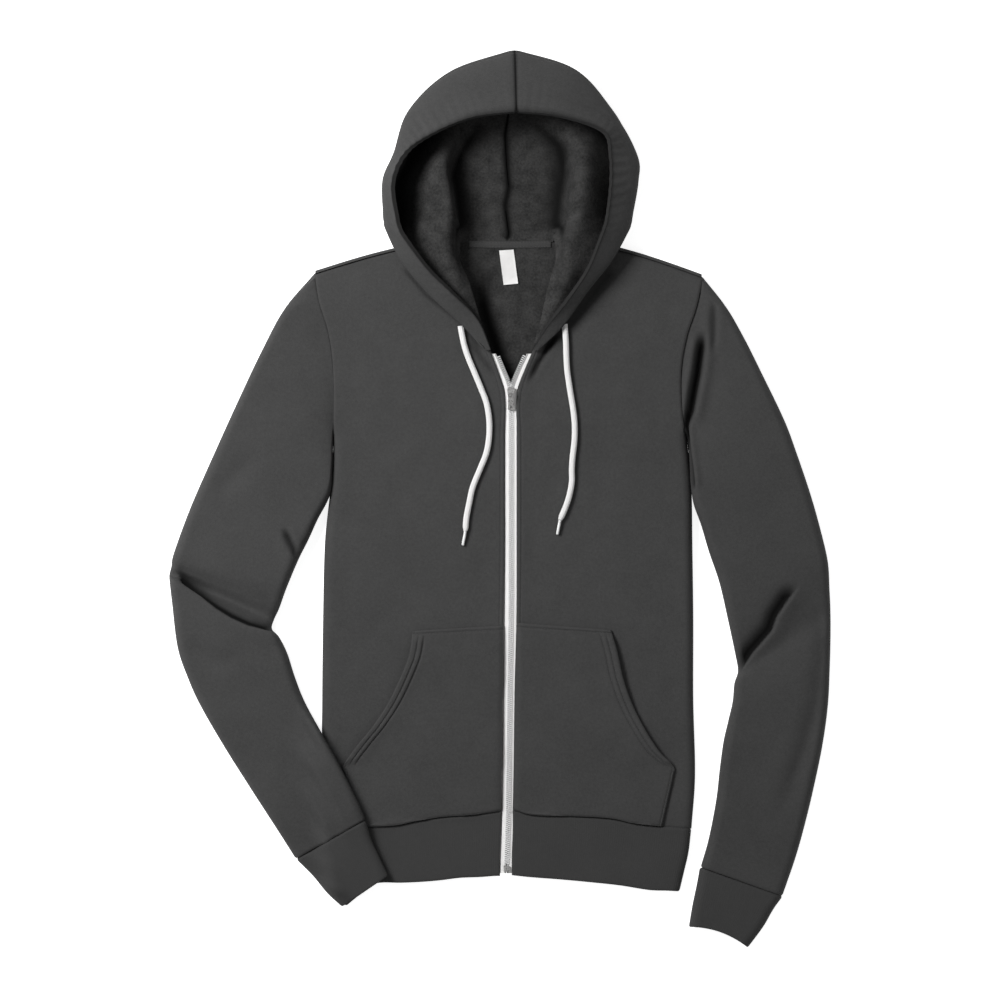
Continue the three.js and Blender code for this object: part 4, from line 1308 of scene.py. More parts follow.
@dataclass(frozen=True)
class Lift:
    """How far the right sleeve's underside is held off the body where it crosses it."""

    reach: float = 18
    gap: float = 0.8
    share: float = 0.75
    fold_y: float = -150  # above this the sleeve lies beside the body
    hem_reach: float = 16
    hem_y: float = -431
    hem_x: float = -179
    pocket_x: float = -186
    pocket_y: float = -372
    pocket: float = 3.2
    band_high: float = 69
    band_x: float = -191

    def at(self, x: Array, y: Array) -> Array:
        """How far the underside is lifted.

        Args:
            x: Places across, in millimetres.
            y: Places up the garment.

        Returns:
            The lift over each place.
        """
        rungs = np.linspace(0, UNDERARM, 61)
        body = FRONT_RIGHT.at(rungs)
        edge_x = np.interp(y, body["out_y"], body["out_x"])
        t = np.interp(y, body["out_y"], rungs)
        beside = mix(self.hem_x, self.band_x, (y - self.hem_y) / self.band_high)
        edge_x = np.where(y < BAND.row(0)["right_y"], beside, edge_x)
        over = smooth((x - (edge_x - self.reach)) / (self.reach - 2))
        hem = smooth((y - (self.hem_y - self.hem_reach)) / (self.hem_reach - 4))
        across, up = smooth((x - self.pocket_x) / 10), smooth((y - self.pocket_y) / 8)
        high = FRONT_RIGHT.at(t)["high"] + self.gap + self.pocket * across * up
        return np.where(y > self.fold_y, 0, over * hem * high)


@dataclass
class ArmTube:
    """A sleeve or a cuff: rings along the arm, laid flat."""

    half: Half
    lift: Lift = Lift()
    tuck: float = 1.1  # how far the first ring slips under the front's armhole edge
    tuck_over: int = 6  # points from the shoulder tip by which it is fully tucked
    tip: tuple[float, float, float] = (1.6, 3.5, 6.5)  # the tip point's steps in and up, its height
    tucked_rib: float = 2.2  # how far the hidden rows of a cuff sink

    def rings(self, rows: Rows) -> tuple[Array, Array]:
        """Lays out a ring for each measured row.

        Args:
            rows: The sleeve's or the cuff's rows.

        Returns:
            The rings, and how much each point is on the upper face.
        """
        r = {name: column[:, None] for name, column in zip(rows.names, rows.values.T)}
        dx, dy = r["in_x"] - r["out_x"], r["in_y"] - r["out_y"]
        width = np.hypot(dx, dy)
        q, rise = tube_stations(width)
        bend = -r["bow"] * 4 * q * (1 - q)
        x = r["out_x"] + dx * q + dy / width * bend
        y = r["out_y"] + dy * q - dx / width * bend
        low = self.lift.at(x, y) if self.half.side < 0 else np.zeros_like(x)
        top = low * self.lift.share + r["high"]
        middle = (low + top) / 2
        upper = np.stack([x, y, mix(middle, top, rise)], -1)
        lower = np.stack([x, y, mix(middle, low, rise)], -1)[:, -2:0:-1]
        upness = np.concatenate([rise, np.zeros(lower.shape[1])])
        return np.concatenate([upper, lower], axis=1), upness

    def armhole(self) -> Array:
        """The ring that the sleeve starts with, just clear of the front and back.

        Returns:
            The ring, as the first of a list of rings.
        """
        side = self.half.side
        r = self.half.front.at(np.linspace(SHOULDER, UNDERARM, CROTCH + 1))
        seam = SEAM_SHARE * r["high"] * share(r["rounds"])
        x = r["out_x"] + side * SEAM
        top = mix(r["high"], seam, share(r["rounds"]))
        upper = np.stack([x, r["out_y"], top], -1)
        tuck = (1 - share(r["rounds"])) * smooth(np.arange(CROTCH + 1) / self.tuck_over)
        upper[:, 0] -= side * self.tuck * tuck
        upper[:, 2] -= (WALL + SEAM) * tuck
        step_in, step_up, high = self.tip
        upper[0] += (-side * step_in, step_up, high - upper[0, 2])
        lower = np.stack([x, r["out_y"], seam], -1)[-2:0:-1]
        return np.concatenate([upper, lower])[None]

    def sheet(self, rings: Array, t: Array) -> Array:
        """Smooths rings along the arm.

        Args:
            rings: The measured rings.
            t: Row numbers along them.

        Returns:
            A ring at each row number.
        """
        count = rings.shape[1]
        points = along(rings.reshape(len(rings), -1), t).reshape(len(t), count, 3)
        points[..., 2] = np.maximum(points[..., 2], 0)
        return points

    def sleeve(self) -> None:
        """Makes the sleeve."""
        rings, upness = self.rings(self.half.sleeve)
        rings = np.concatenate([self.armhole(), rings])
        t = ends_fine(len(rings) - 1, (0, 0.02, 0.05, 0.09), (0, 0.02, 0.05, 0.09), 290)
        points = self.sheet(rings, t)
        inward = self.facing_in(points, grid_normals(points, True))
        inward[0, 1:CROTCH], inward[0, CROTCH + 1:] = DOWN, UP
        inward[0, 0], inward[0, CROTCH] = (0, -1, 0), (0, 1, 0)
        x, y = points[..., 0], points[..., 1]
        relief = 0.9 * ripple(x, y, 120, 31 + self.half.side) - 0.4
        relief = relief + creased(self.half.sleeve_creases, x, y)
        down = arc(points, 0)
        relief = relief * upness[None, :] * smooth(down / 12)[:, None]
        relief = relief + rolled(down)[:, None] + rolled(down[-1] - down)[:, None]
        # painted shade in the sleeve's creases, on its upper face
        hollow = painted_shade_of(self.half.sleeve_creases, x, y) * upness[None, :]
        Cloth(f"sleeve_{self.half.name}_cloth", points, closed=True, inward=inward,
              relief=relief, hollow=hollow).build()

    def cuff(self) -> None:
        """Makes the ribbed cuff."""
        rings, upness = self.rings(self.half.cuff)
        t = ends_fine(len(rings) - 1, (0, 0.025, 0.06, 0.11), (0, 0.03, 0.07, 0.13), 42)
        t = np.concatenate([TUCKED, t])
        points = self.sheet(rings, t)
        inward = self.facing_in(points, grid_normals(points, True))
        x, y = points[..., 0], points[..., 1]
        run = arc(points, 0)
        down, up = run - run[len(TUCKED)], run[-1] - run
        relief = 0.5 * ripple(x, y, 60, 51 + self.half.side) * upness[None, :]
        relief = relief * smooth(down / 5)[:, None]
        relief = relief + (rolled(down, 1.0) - self.tucked_rib * (t < 0))[:, None]
        relief = relief + rolled(up, 0.7, 1.6)[:, None]
        Cloth(f"cuff_{self.half.name}_cloth", points, RIB_WALL, True, inward, relief,
              (RIB, RIB), Slot.RIB).build()

    @staticmethod
    def facing_in(points: Array, normals: Array) -> Array:
        """Turns normals towards the middle of their ring.

        Args:
            points: The rings.
            normals: Their normals, all in or all out.

        Returns:
            The normals that point in.
        """
        middle = points.mean(axis=1, keepdims=True)
        facing = ((middle - points) * normals).sum(-1).mean()
        return normals if facing > 0 else -normals


@dataclass
class Waistband:
    """The ribbed band, from the zip round the back to the zip."""

    flats: int = 56  # points across each upper half
    under_flats: int = 90
    zip_stations: tuple[float, ...] = (8, 5.5, 4, 2.5, 1.4, 0.6, 0.0)
    tucked_rib: float = 2.2  # how far the hidden rows sink

    def build(self) -> None:
        """Makes the band."""
        t = ends_fine(3, (0, 0.02, 0.05, 0.1), (0, 0.02, 0.05, 0.1), 30)
        t = np.concatenate([TUCKED, t])[:, None]
        r = BAND.at(t)
        seam = SEAM_SHARE * r["high"]

        def run(side: str, d: Array, rise: Array) -> Array:
            """Points of one half of the upper face, d in from its side and risen by a share."""
            sx, sy = r[f"{side}_x"], r[f"{side}_y"]
            zx, zy = r[f"zip_{side}_x"], r[f"zip_{side}_y"]
            f = d / np.hypot(zx - sx, zy - sy)
            x = mix(sx, zx, f)
            y = mix(sy, zy, f) + r[f"sag_{side}"] * 4 * f * (1 - f)
            y = y + wander(HEM_WAVE, x) * smooth(1 - np.maximum(t, 0) / 2.2)
            y = y + wander(FOOT_WAVE, x) * smooth((t - 1.2) / 1.8)
            return np.stack([x, y, mix(seam, r["high"], rise)], -1)

        def half(side: str) -> Array:
            """The whole upper half, from its side to the zip."""
            wide, tall = (r[f"zip_{side}_{axis}"] - r[f"{side}_{axis}"] for axis in "xy")
            width = np.hypot(wide, tall)
            near = np.array(self.zip_stations)
            flat = mix(EDGE_ROUND, width - near[0], np.linspace(0, 1, self.flats)[None, 1:-1])
            ends = np.broadcast_to(ROUND_IN, (len(t), ROUND_STEPS))
            d = np.concatenate([ends, flat, width - near[None]], axis=1)
            rise = np.concatenate([ROUND_RISE, np.ones(d.shape[1] - ROUND_STEPS)])
            return run(side, d, rise)

        width = r["left_x"] - r["right_x"]
        ends = np.broadcast_to(ROUND_IN[1:], (len(t), ROUND_STEPS - 1))
        across = np.linspace(0, 1, self.under_flats)[None, 1:-1]
        flat = mix(EDGE_ROUND, width - EDGE_ROUND, across)
        d = np.concatenate([ends, flat, width - ends[:, ::-1]], axis=1)
        rise = np.concatenate([ROUND_RISE[1:], np.ones(across.size), ROUND_RISE[:0:-1]])
        f = d / width
        under = np.stack([
            mix(r["right_x"], r["left_x"], f), r["right_y"] + r["back_rise"] * 4 * f * (1 - f),
            seam * (1 - rise),
        ], -1)
        right, left = half("right")[:, ::-1], half("left")
        points = np.concatenate([right, under, left], axis=1)
        inward = grid_normals(points, False)
        middle = len(t) // 2, right.shape[1] // 2
        if inward[middle][2] > 0:
            inward = -inward
        inward[:, 0] = inward[:, -1] = DOWN
        x, y = points[..., 0], points[..., 1]
        top = np.repeat((1.0, 0.0, 1.0), (right.shape[1], under.shape[1], left.shape[1]))
        relief = 0.6 * (ripple(x, y, 80, 61) - 1) * top[None, :]
        run_down, run_across = arc(points, 0), arc(points, 1)
        down, up = run_down - run_down[len(TUCKED)], run_down[-1] - run_down
        edge = np.minimum(run_across, run_across[-1] - run_across)[None, :]
        relief = relief * smooth(down / 6)[:, None] + rolled(down, 1.0)[:, None]
        relief = relief - self.tucked_rib * (t < 0)
        relief = relief + rolled(up, 0.8, 1.8)[:, None] + rolled(edge, 0.8, 1.6)
        Cloth("waistband_cloth", points, RIB_WALL, False, inward, relief, (RIB, RIB),
              Slot.RIB).build()


@dataclass
class Pocket:
    """A kangaroo pocket, open along its curved slant."""

    half: Half
    stitch_lines: tuple[float, float] = (7.0, 13.0)
    side_stitch: float = 2.2
    top_stitch: float = 4.0
    gape: float = 3.2  # how far the hand opening's edge stands off the front
    edge_stations: tuple[float, ...] = (
        0, 0.5, 1.2, 2.2, 3.6, 5.0, 6.0, 6.5, 7.0, 7.5, 8.2, 9.5, 11.0, 12.0, 12.5, 13.0, 13.5,
        14.2, 16.0,
    )
    top_stations: tuple[float, ...] = (0, 0.02, 0.05, 0.09, 0.12, 0.154, 0.19, 0.24)

    def build(self) -> None:
        """Makes the pocket and its stitching."""
        rows = self.half.pocket
        last = len(rows.values) - 1
        t = ends_fine(last, (0, 0.012, 0.03, 0.06), self.top_stations, 128)
        r = rows.at(t[:, None])
        width = np.abs(r["in_x"] - r["out_x"])
        near = np.array(self.edge_stations)
        flat = mix(near[-1], width, np.linspace(0, 1, 46)[None, 1:])
        d = np.concatenate([np.broadcast_to(near, (len(t), len(near))), flat], axis=1)
        f = d / width
        x, y = mix(r["out_x"], r["in_x"], f), mix(r["out_y"], r["in_y"], f)
        y = y + wander(HEM_WAVE, x) * smooth(1 - t[:, None] / 0.9)
        z = face_height(self.half.front, x, y) + SEAM
        points = np.stack([x, y, z], -1)
        opening = (smooth((t - 1.9) / 0.5) * smooth((7.95 - t) / 0.5))[:, None]
        uneven = (0.8 + 0.2 * np.sin(t * 2.3))[:, None]
        points[..., 2] += self.gape * opening * np.exp(-((d / 16) ** 2)) * uneven
        one, two = self.stitch_lines
        relief = 0.8 * opening * smooth((two + 0.8 - d) / 1.6)
        relief = relief + opening * (groove(d - one, 1.1, 0.9) + groove(d - two, 1.2, 0.9))
        relief = relief + (1 - opening) * groove(d - self.side_stitch, 0.8, 0.7)
        run = arc(points, 0)
        up = run[-1] - run
        relief = relief + rolled(d, 1.0, 1.6) + rolled(up, 0.9, 1.5)[:, None]
        relief = relief + groove(up - self.top_stitch, 0.9, 0.8)[:, None]
        relief = relief + rolled(run, 1.2, 2.4)[:, None] + rolled(width - d, 1.7, 5.0)
        relief = relief + 0.45 * ripple(x, y, 70, 71 + self.half.side) * smooth(d / 30)
        inward = np.broadcast_to(DOWN, points.shape).copy()
        outer = points.copy()
        outer[..., 2] += WALL
        name = self.half.name
        Cloth(f"pocket_{name}_cloth", outer, WALL, False, inward, relief).build()
        face = outer - inward * relief[..., None]
        rows_open = (t > 2.15) & (t < 7.9)
        rows_side = (t > 0.15) & (t < 1.95)
        lines = [face[rows_open, self.edge_stations.index(line)] for line in (one, two)]
        lines.append(face[rows_side, self.edge_stations.index(self.side_stitch)])
        top_row = int(np.argmin(np.abs(up - self.top_stitch)))
        lines.append(face[top_row, 2:-2])
        sew(f"pocket_stitch_{name}", lines)


@dataclass
class HoodHalf:
    """One half of the hood, from its hemmed rim to the neck seam or the centre back seam."""

    half: Half
    per_row: int = 17
    columns: int = 84
    hem_line: float = 0.98
    hem_lines: tuple[float, ...] = (-0.05, -0.025, 0, 0.025, 0.05)
    lap: float = 0.4  # how far the lower edge slips past the back seam
    neck_drop: float = 3.7  # how far the last columns reach down over the neck tape

    def closed(self, t: Array, s: Array) -> Array:
        """The painted shade on the hood: in its inner valleys, under the crown, in its seams and at
        the rim.

        Args:
            t: Row numbers from the rim's foot to the crown.
            s: Column numbers from the rim to the neck or the back seam.

        Returns:
            The painted shade at each, from 0 to 1.
        """

        def bell(off: Array, reach: float) -> Array:
            """A soft bell over a line, of a reach."""
            return np.exp(-((off / reach) ** 2))

        last = len(self.half.hood.values) - 1
        t, s = t[:, None], s[None, :]
        # painted shade in two inner valleys, painted shadow under the crown (stronger on the right
        # half, where the rim's shadow falls), painted shade along the crown and centre back seams
        # and at the rim's edge
        valleys = 1.05 * bell(s - 2.08, 0.32) + 0.95 * bell(s - 4, 0.3)
        valleys = valleys * (smooth((t - 3.2) / 1.2) * smooth((10.2 - t) / 1.2))
        crown = smooth((t - 7.6) / 1.6) * bell(s - 2.2, 0.55) * (1.0 if self.half.side < 0 else 0.6)
        seams = bell(last - t, 0.03) + 1.1 * (t > BACK_SEAM_ROW) * bell(5 - s, 0.075)
        return share(valleys + crown + seams + 0.6 * bell(s, 0.06))

    def build(self) -> None:
        """Makes the hood half and its hem stitching."""
        rows, side = self.half.hood, self.half.side
        last = len(rows.values) - 1
        t = ends_fine(last, (0, 0.02, 0.05, 0.1), (0, 0.015, 0.03, 0.06), last * self.per_row)
        s = np.unique(np.concatenate([
            np.linspace(0, 5, self.columns), self.hem_line + np.array(self.hem_lines),
            (0.02, 0.05), (4.96, 4.985),
        ]))
        found = along(rows.values, t).reshape(len(t), 6, 3)
        below = np.minimum(np.floor(t).astype(int), last - 1)
        ends = rows.values[:, 15]
        straight = mix(ends[below], ends[below + 1], t - below)
        found[:, 5, 0] = np.where(t > BACK_SEAM_ROW, straight, found[:, 5, 0])
        seam_y, seam_x = np.array(BACK_SEAM).T
        onto = smooth((t - BACK_SEAM_ROW) / 0.3)
        found[:, 5, 0] = mix(found[:, 5, 0], np.interp(found[:, 5, 1], seam_y, seam_x), onto)
        stops = np.moveaxis(found, 1, 0).reshape(6, -1)
        points = np.moveaxis(along(stops, s).reshape(len(s), len(t), 3), 0, 1).copy()
        points[..., 2] = np.maximum(points[..., 2], 0)
        points[-1, :, 0] -= side * 0.1
        points[t > BACK_SEAM_ROW - 0.1, -1, 0] -= side * self.lap
        at_neck = smooth((t - BACK_SEAM_ROW + 1.9) / 0.4) * (t < BACK_SEAM_ROW + 0.02)
        points[:, -3:, 1] -= self.neck_drop * at_neck[:, None] * np.array((0.3, 0.7, 1.0))
        inward = grid_normals(points, False) * side
        inward[-1, :, 0] = 0
        inward[-1] = unit(inward[-1])
        inward[(points[..., 2] < 0.3) & (s > 2.2)[None, :]] = UP
        inward[t >= BACK_SEAM_ROW, -1] = UP
        full = mix(HEM_WALL, WALL, smooth((s - HEM_REACH) * 4))[None, :]
        wall = mix(HOOD_TIP_WALL, full, smooth(t / HOOD_TIP_ROWS)[:, None])
        x, y = points[..., 0], points[..., 1]
        hem = smooth((0.62 - s) / 0.25)[None, :] * smooth((s + 0.05) / 0.1)[None, :]
        run = arc(points, 0)[:, None]
        gather = np.sin(run / 10.0 * 2 * math.pi + 2.2 * np.sin(run / 47.0)) * (
            0.55 + 0.45 * np.sin(run / 31.0 + side)
        )
        relief = 0.7 * gather * hem * (0.25 + 0.75 * smooth((t - 5.5) / 2))[:, None]
        relief = relief + 1.6 * ripple(x, y, 70, 81 + side) * smooth((s - 1.2) / 0.8)[None, :]
        relief = relief + creased(self.half.hood_creases, x, y) * smooth((1.9 - s) / 0.3)[None, :]
        relief = relief * smooth((last - t) / 0.2)[:, None] * smooth(t / 0.4)[:, None]
        relief = relief + groove(s - self.hem_line, 1.0, 0.035)[None, :]
        relief = relief + groove(last - t, 1.2, 0.05)[:, None]
        relief = relief * smooth(points[..., 2] / 3)
        name = self.half.name
        Cloth(f"hood_{name}_cloth", points, wall, False, inward, relief,
              hollow=self.closed(t, s)).build()
        face = points - inward * relief[..., None]
        column = int(np.argmin(np.abs(s - self.hem_line)))
        sew(f"hood_hem_stitch_{name}", [face[6:-6, column]])


@dataclass(frozen=True)
class Stitch:
    """One thread stitch's sizes."""

    pitch: float = 3.4
    long: float = 2.7
    radius: float = 0.32
    sink: float = 0.12
    dip: float = 0.3  # how far its ends dive, twice over


def sew(name: str, lines: Sequence[Array], stitch: Stitch = Stitch()) -> None:
    """Lays stitches along lines on the cloth, as one joined mesh.

    Args:
        name: The piece's name.
        lines: The stitched lines, each as points on the cloth.
        stitch: The stitches' sizes.
    """
    verts: list[Array] = []
    faces: list[tuple[int, ...]] = []
    ring = np.linspace(0, 2 * math.pi, 7)[:-1]
    shape = ((-0.5, 0.35), (-0.3, 1.0), (0.3, 1.0), (0.5, 0.35))  # place along, and how wide
    for line in lines:
        legs = np.linalg.norm(np.diff(line, axis=0), axis=1)
        run = np.concatenate([[0], np.cumsum(legs)])
        for at in np.arange(stitch.pitch / 2, run[-1] - stitch.pitch / 2, stitch.pitch):
            ends = np.array([
                [np.interp(at + h * stitch.long, run, line[:, k]) for k in range(3)]
                for h in (-0.5, 0.5)
            ])
            d = unit(ends[1] - ends[0])
            side = unit(np.cross(UP, d))
            rise = np.cross(d, side)
            first = len(verts)
            for place, wide in shape:
                high = stitch.radius - stitch.sink - stitch.dip * abs(place)
                centre = mix(ends[0], ends[1], place + 0.5) + rise * high
                for a in ring:
                    out = side * math.cos(a) + rise * math.sin(a)
                    verts.append(centre + stitch.radius * wide * out)
            for k in range(3):
                for a in range(6):
                    b = (a + 1) % 6
                    faces.append((first + k * 6 + a, first + k * 6 + b,
                                  first + k * 6 + 6 + b, first + k * 6 + 6 + a))
            faces.append(tuple(first + a for a in range(5, -1, -1)))
            faces.append(tuple(first + 18 + a for a in range(6)))
    add_mesh(name, np.array(verts), faces, (SEWING,), sharp=80)


@dataclass
class ZipHalf:
    """A zip tape with its row of teeth."""

    half: Half
    pitch: float = 2.3
    tooth_long: float = 3.3
    tooth_wide: float = 1.2
    tooth_high: float = 1.2
    cord_edge: float = 0.5
    splay: float = 2.7  # how far the teeth stand past the tape's edge where the zip is open
    foot_y: float = -411
    top_y: float = 161
    open_y: float = 118  # the slider's place, where the chain parts
    first_tooth_y: float = -400

    def route(self, y: Array) -> Array:
        """Where the tape's inner edge runs at heights y."""
        rows = ZIP.values
        column = ZIP.names.index(self.half.zip_column)
        return np.interp(y, rows[:, 0], rows[:, column])

    def base(self, x: Array, y: Array) -> Array:
        """Height of the tape's face."""
        beside = x + self.half.side * 8
        return cloth_height(self.half.front, beside, np.minimum(y, 150)) - TAPE_DROP

    def build(self) -> None:
        """Makes the tape and the teeth."""
        side = self.half.side
        y = np.linspace(self.foot_y, self.top_y, 240)
        edge = self.route(y)
        z = self.base(edge, y)
        reach = np.interp(y, (self.open_y, self.open_y + 6), (13.7, 15))
        stations = np.array((0.35, 0.6, 1.1, 1.7, 2.2, 2.8, 4.0, 5.2, 6.2))
        lumps = np.array((0.1, 0.75, 1.0, 0.75, 0.1, 0.0, 0.0, 0.05, 0.0)) * self.cord_edge
        wide = np.concatenate([np.broadcast_to(stations, (len(y), 9)),
                               mix(7.2, reach[:, None], np.linspace(0, 1, 5)[None])], axis=1)
        high = np.concatenate([lumps + TAPE_LIFT, np.zeros(5)])
        points = np.stack([
            edge[:, None] + side * wide, np.broadcast_to(y[:, None], wide.shape),
            z[:, None] + high[None],
        ], -1)
        inward = np.broadcast_to(DOWN, points.shape).copy()
        name = self.half.name
        tape = Cloth(f"zip_tape_{name}_cloth", points, 0.9, False, inward, None, (TAPE, TAPE),
                     Slot.ZIP_CLOTH).build()
        self.teeth()

    def teeth(self) -> None:
        """Makes the joined teeth, straight down the chain and splayed up the open neck."""
        side = self.half.side
        line_y = np.linspace(self.first_tooth_y, self.top_y - 1, 900)
        line_x = self.route(line_y)
        run = np.concatenate([[0], np.cumsum(np.hypot(np.diff(line_x), np.diff(line_y)))])
        places = np.arange(0 if side > 0 else self.pitch / 2, run[-1] - 1, self.pitch)
        w = self.tooth_wide / 2
        edge = np.array(((-0.9, 0.85), (-0.45, 1), (0.5, 0.75), (1.4, 0.95), (2.7, 1)))
        plan = np.concatenate([edge * (1, -w), edge[::-1] * (1, w)])
        plan[:, 0] *= self.tooth_long / np.ptp(edge[:, 0])
        verts: list[Array] = []
        faces: list[tuple[int, ...]] = []
        layers = ((0.0, 1.0), (0.62, 1.0), (0.9, 0.86), (1.0, 0.6))  # height and size, as shares
        centre = np.array([0.9, 0.0])
        for at in places:
            x, y = np.interp(at, run, line_x), np.interp(at, run, line_y)
            ahead = np.array([np.interp(at + 0.5, run, line) for line in (line_x, line_y)])
            ahead = unit(ahead - (x, y))
            out = np.array([ahead[1], -ahead[0]]) * side
            z = float(self.base(np.array(x), np.array(y)))
            first, n = len(verts), len(plan)
            open_part = smooth((y - self.open_y) / 10)
            for rise, scale in layers:
                spot = (plan - centre) * scale + centre
                spot[:, 0] += 0.62 - self.splay * open_part
                for a, b in spot:
                    flat = np.array([x, y]) + out * a + ahead * b
                    verts.append(np.array([*flat, z + TAPE_LIFT + 0.15 + rise * self.tooth_high]))
            for k in range(len(layers) - 1):
                for a in range(n):
                    b = (a + 1) % n
                    ring = (first + k * n + a, first + k * n + b,
                            first + k * n + n + b, first + k * n + n + a)
                    faces.append(ring if side > 0 else ring[::-1])
            top = tuple(first + (len(layers) - 1) * n + a for a in range(n))
            bottom = tuple(first + a for a in range(n - 1, -1, -1))
            faces.extend((top, bottom) if side > 0 else (top[::-1], bottom[::-1]))
        add_mesh(f"zip_teeth_{self.half.name}", np.array(verts), faces, (TEETH,),
                 sharp=35)


@dataclass
class Drawcord:
    """A braided cord with its hard tip."""

    half: Half
    diameter: float = 6.2
    tip: float = 3.2
    sides: int = 24
    strands: int = 8
    twist: float = 11.0  # the length of one turn of the strands
    strand_high: float = 0.42
    flat: float = 0.78  # how far the braid lies flattened, its height over its width

    def build(self) -> None:
        front = self.half.front
        plan = np.array(self.half.cord, float)
        radius = self.diameter / 2
        z = face_height(front, plan[:, 0], plan[:, 1]) + SEAM + radius
        path = np.column_stack([plan, z])
        t = np.linspace(0, len(path) - 1, 210)
        centre = along(path, t)
        d = unit(np.gradient(centre, axis=0))
        side = unit(np.cross(d, UP))
        rise = np.cross(side, d)
        run = np.concatenate([[0], np.cumsum(np.linalg.norm(np.diff(centre, axis=0), axis=1))])
        a = np.linspace(0, 2 * math.pi, self.sides, endpoint=False)
        turn = run[:, None] / self.twist * 4 * math.pi
        around = self.strands / 2 * a[None]
        braid = np.sin(around + turn) * np.sin(around - turn)
        r = radius + 0.15 + self.strand_high * braid
        r = r * mix(0.72, 1.0, smooth((run[-1] - run) / 5))[:, None]
        across = side[:, None] * (r * np.cos(a))[..., None]
        points = centre[:, None] + across + rise[:, None] * (r * self.flat * np.sin(a))[..., None]
        points[..., 2] -= radius * (1 - self.flat)
        name = self.half.name
        cord = self.tube(f"drawcord_{name}_braid", points, run, COTTON)
        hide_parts(f"drawcord_{name}")
        end = path[-1]
        far_xy = np.array(self.half.tip_end, float)
        far_z = face_height(front, far_xy[:1], far_xy[1:])[0] + SEAM + self.tip / 2
        far = np.array([*far_xy, far_z])
        start = mix(end, far, SEAM / np.linalg.norm(far - end))
        tip = self.make_tip(start, far)
        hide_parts(f"drawcord_tip_{name}")

    def tube(self, name: str, points: Array, run: Array, finish: Any) -> bpy.types.Object:
        """Makes a closed tube through rings of points.

        Args:
            name: The piece's name.
            points: The rings.
            run: How far along each ring lies.
            finish: The tube's finish.

        Returns:
            The object.
        """
        rows, cols = points.shape[:2]
        i, j = np.meshgrid(np.arange(rows - 1), np.arange(cols), indexing="ij")
        k = (j + 1) % cols
        faces = np.stack([i * cols + j, i * cols + k, (i + 1) * cols + k, (i + 1) * cols + j], -1)
        faces = faces.reshape(-1, 4)
        around = np.linspace(0, self.diameter * math.pi, cols + 1)

        def corner(a: Array, b: Array) -> Array:
            """Flat places of the points of rings a at places b round them, in metres."""
            return np.stack([around[b], run[a]], -1) * MM

        uvs = np.stack([corner(i, j), corner(i, j + 1), corner(i + 1, j + 1), corner(i + 1, j)], -2)
        caps = [list(range(cols - 1, -1, -1)), [(rows - 1) * cols + c for c in range(cols)]]
        uv = np.concatenate([uvs.reshape(-1, 2), np.zeros((2 * cols, 2))])
        obj = add_mesh(name, points.reshape(-1, 3), faces.tolist() + caps, (finish,),
                       uv, sharp=75)
        turn_out(obj)
        return obj

    def make_tip(self, start: Array, far: Array) -> bpy.types.Object:
        """Makes the hard tip, crimped where it grips the braid.

        Args:
            start: Where it grips.
            far: Its free end.

        Returns:
            The object.
        """
        d = unit(far - start)
        side = unit(np.cross(d, UP))
        rise = np.cross(side, d)
        length = np.linalg.norm(far - start)
        profile = ((0, 0.82), (0.4, 1.0), (2.6, 1.0), (2.9, 0.9), (3.4, 0.9), (3.7, 0.98),
                   (length - 1.2, 0.94), (length - 0.4, 0.8), (length, 0.45))
        a = np.linspace(0, 2 * math.pi, self.sides, endpoint=False)
        out = side * np.cos(a)[:, None] + rise * np.sin(a)[:, None]
        rings = [start + d * place + self.tip / 2 * wide * out for place, wide in profile]
        run = np.array([place for place, _ in profile])
        return self.tube(f"drawcord_tip_{self.half.name}_end", np.array(rings), run, TEETH)


def turn_out(obj: bpy.types.Object) -> None:
    """Turns a closed mesh's faces outward.

    Args:
        obj: The mesh object.
    """
    mesh = obj.data
    points = np.array([v.co for v in mesh.vertices])
    volume = 0.0
    for face in mesh.polygons:
        v = points[list(face.vertices)]
        for k in range(1, len(v) - 1):
            volume += float(np.dot(v[0], np.cross(v[k], v[k + 1])))
    if volume < 0:
        mesh.flip_normals()


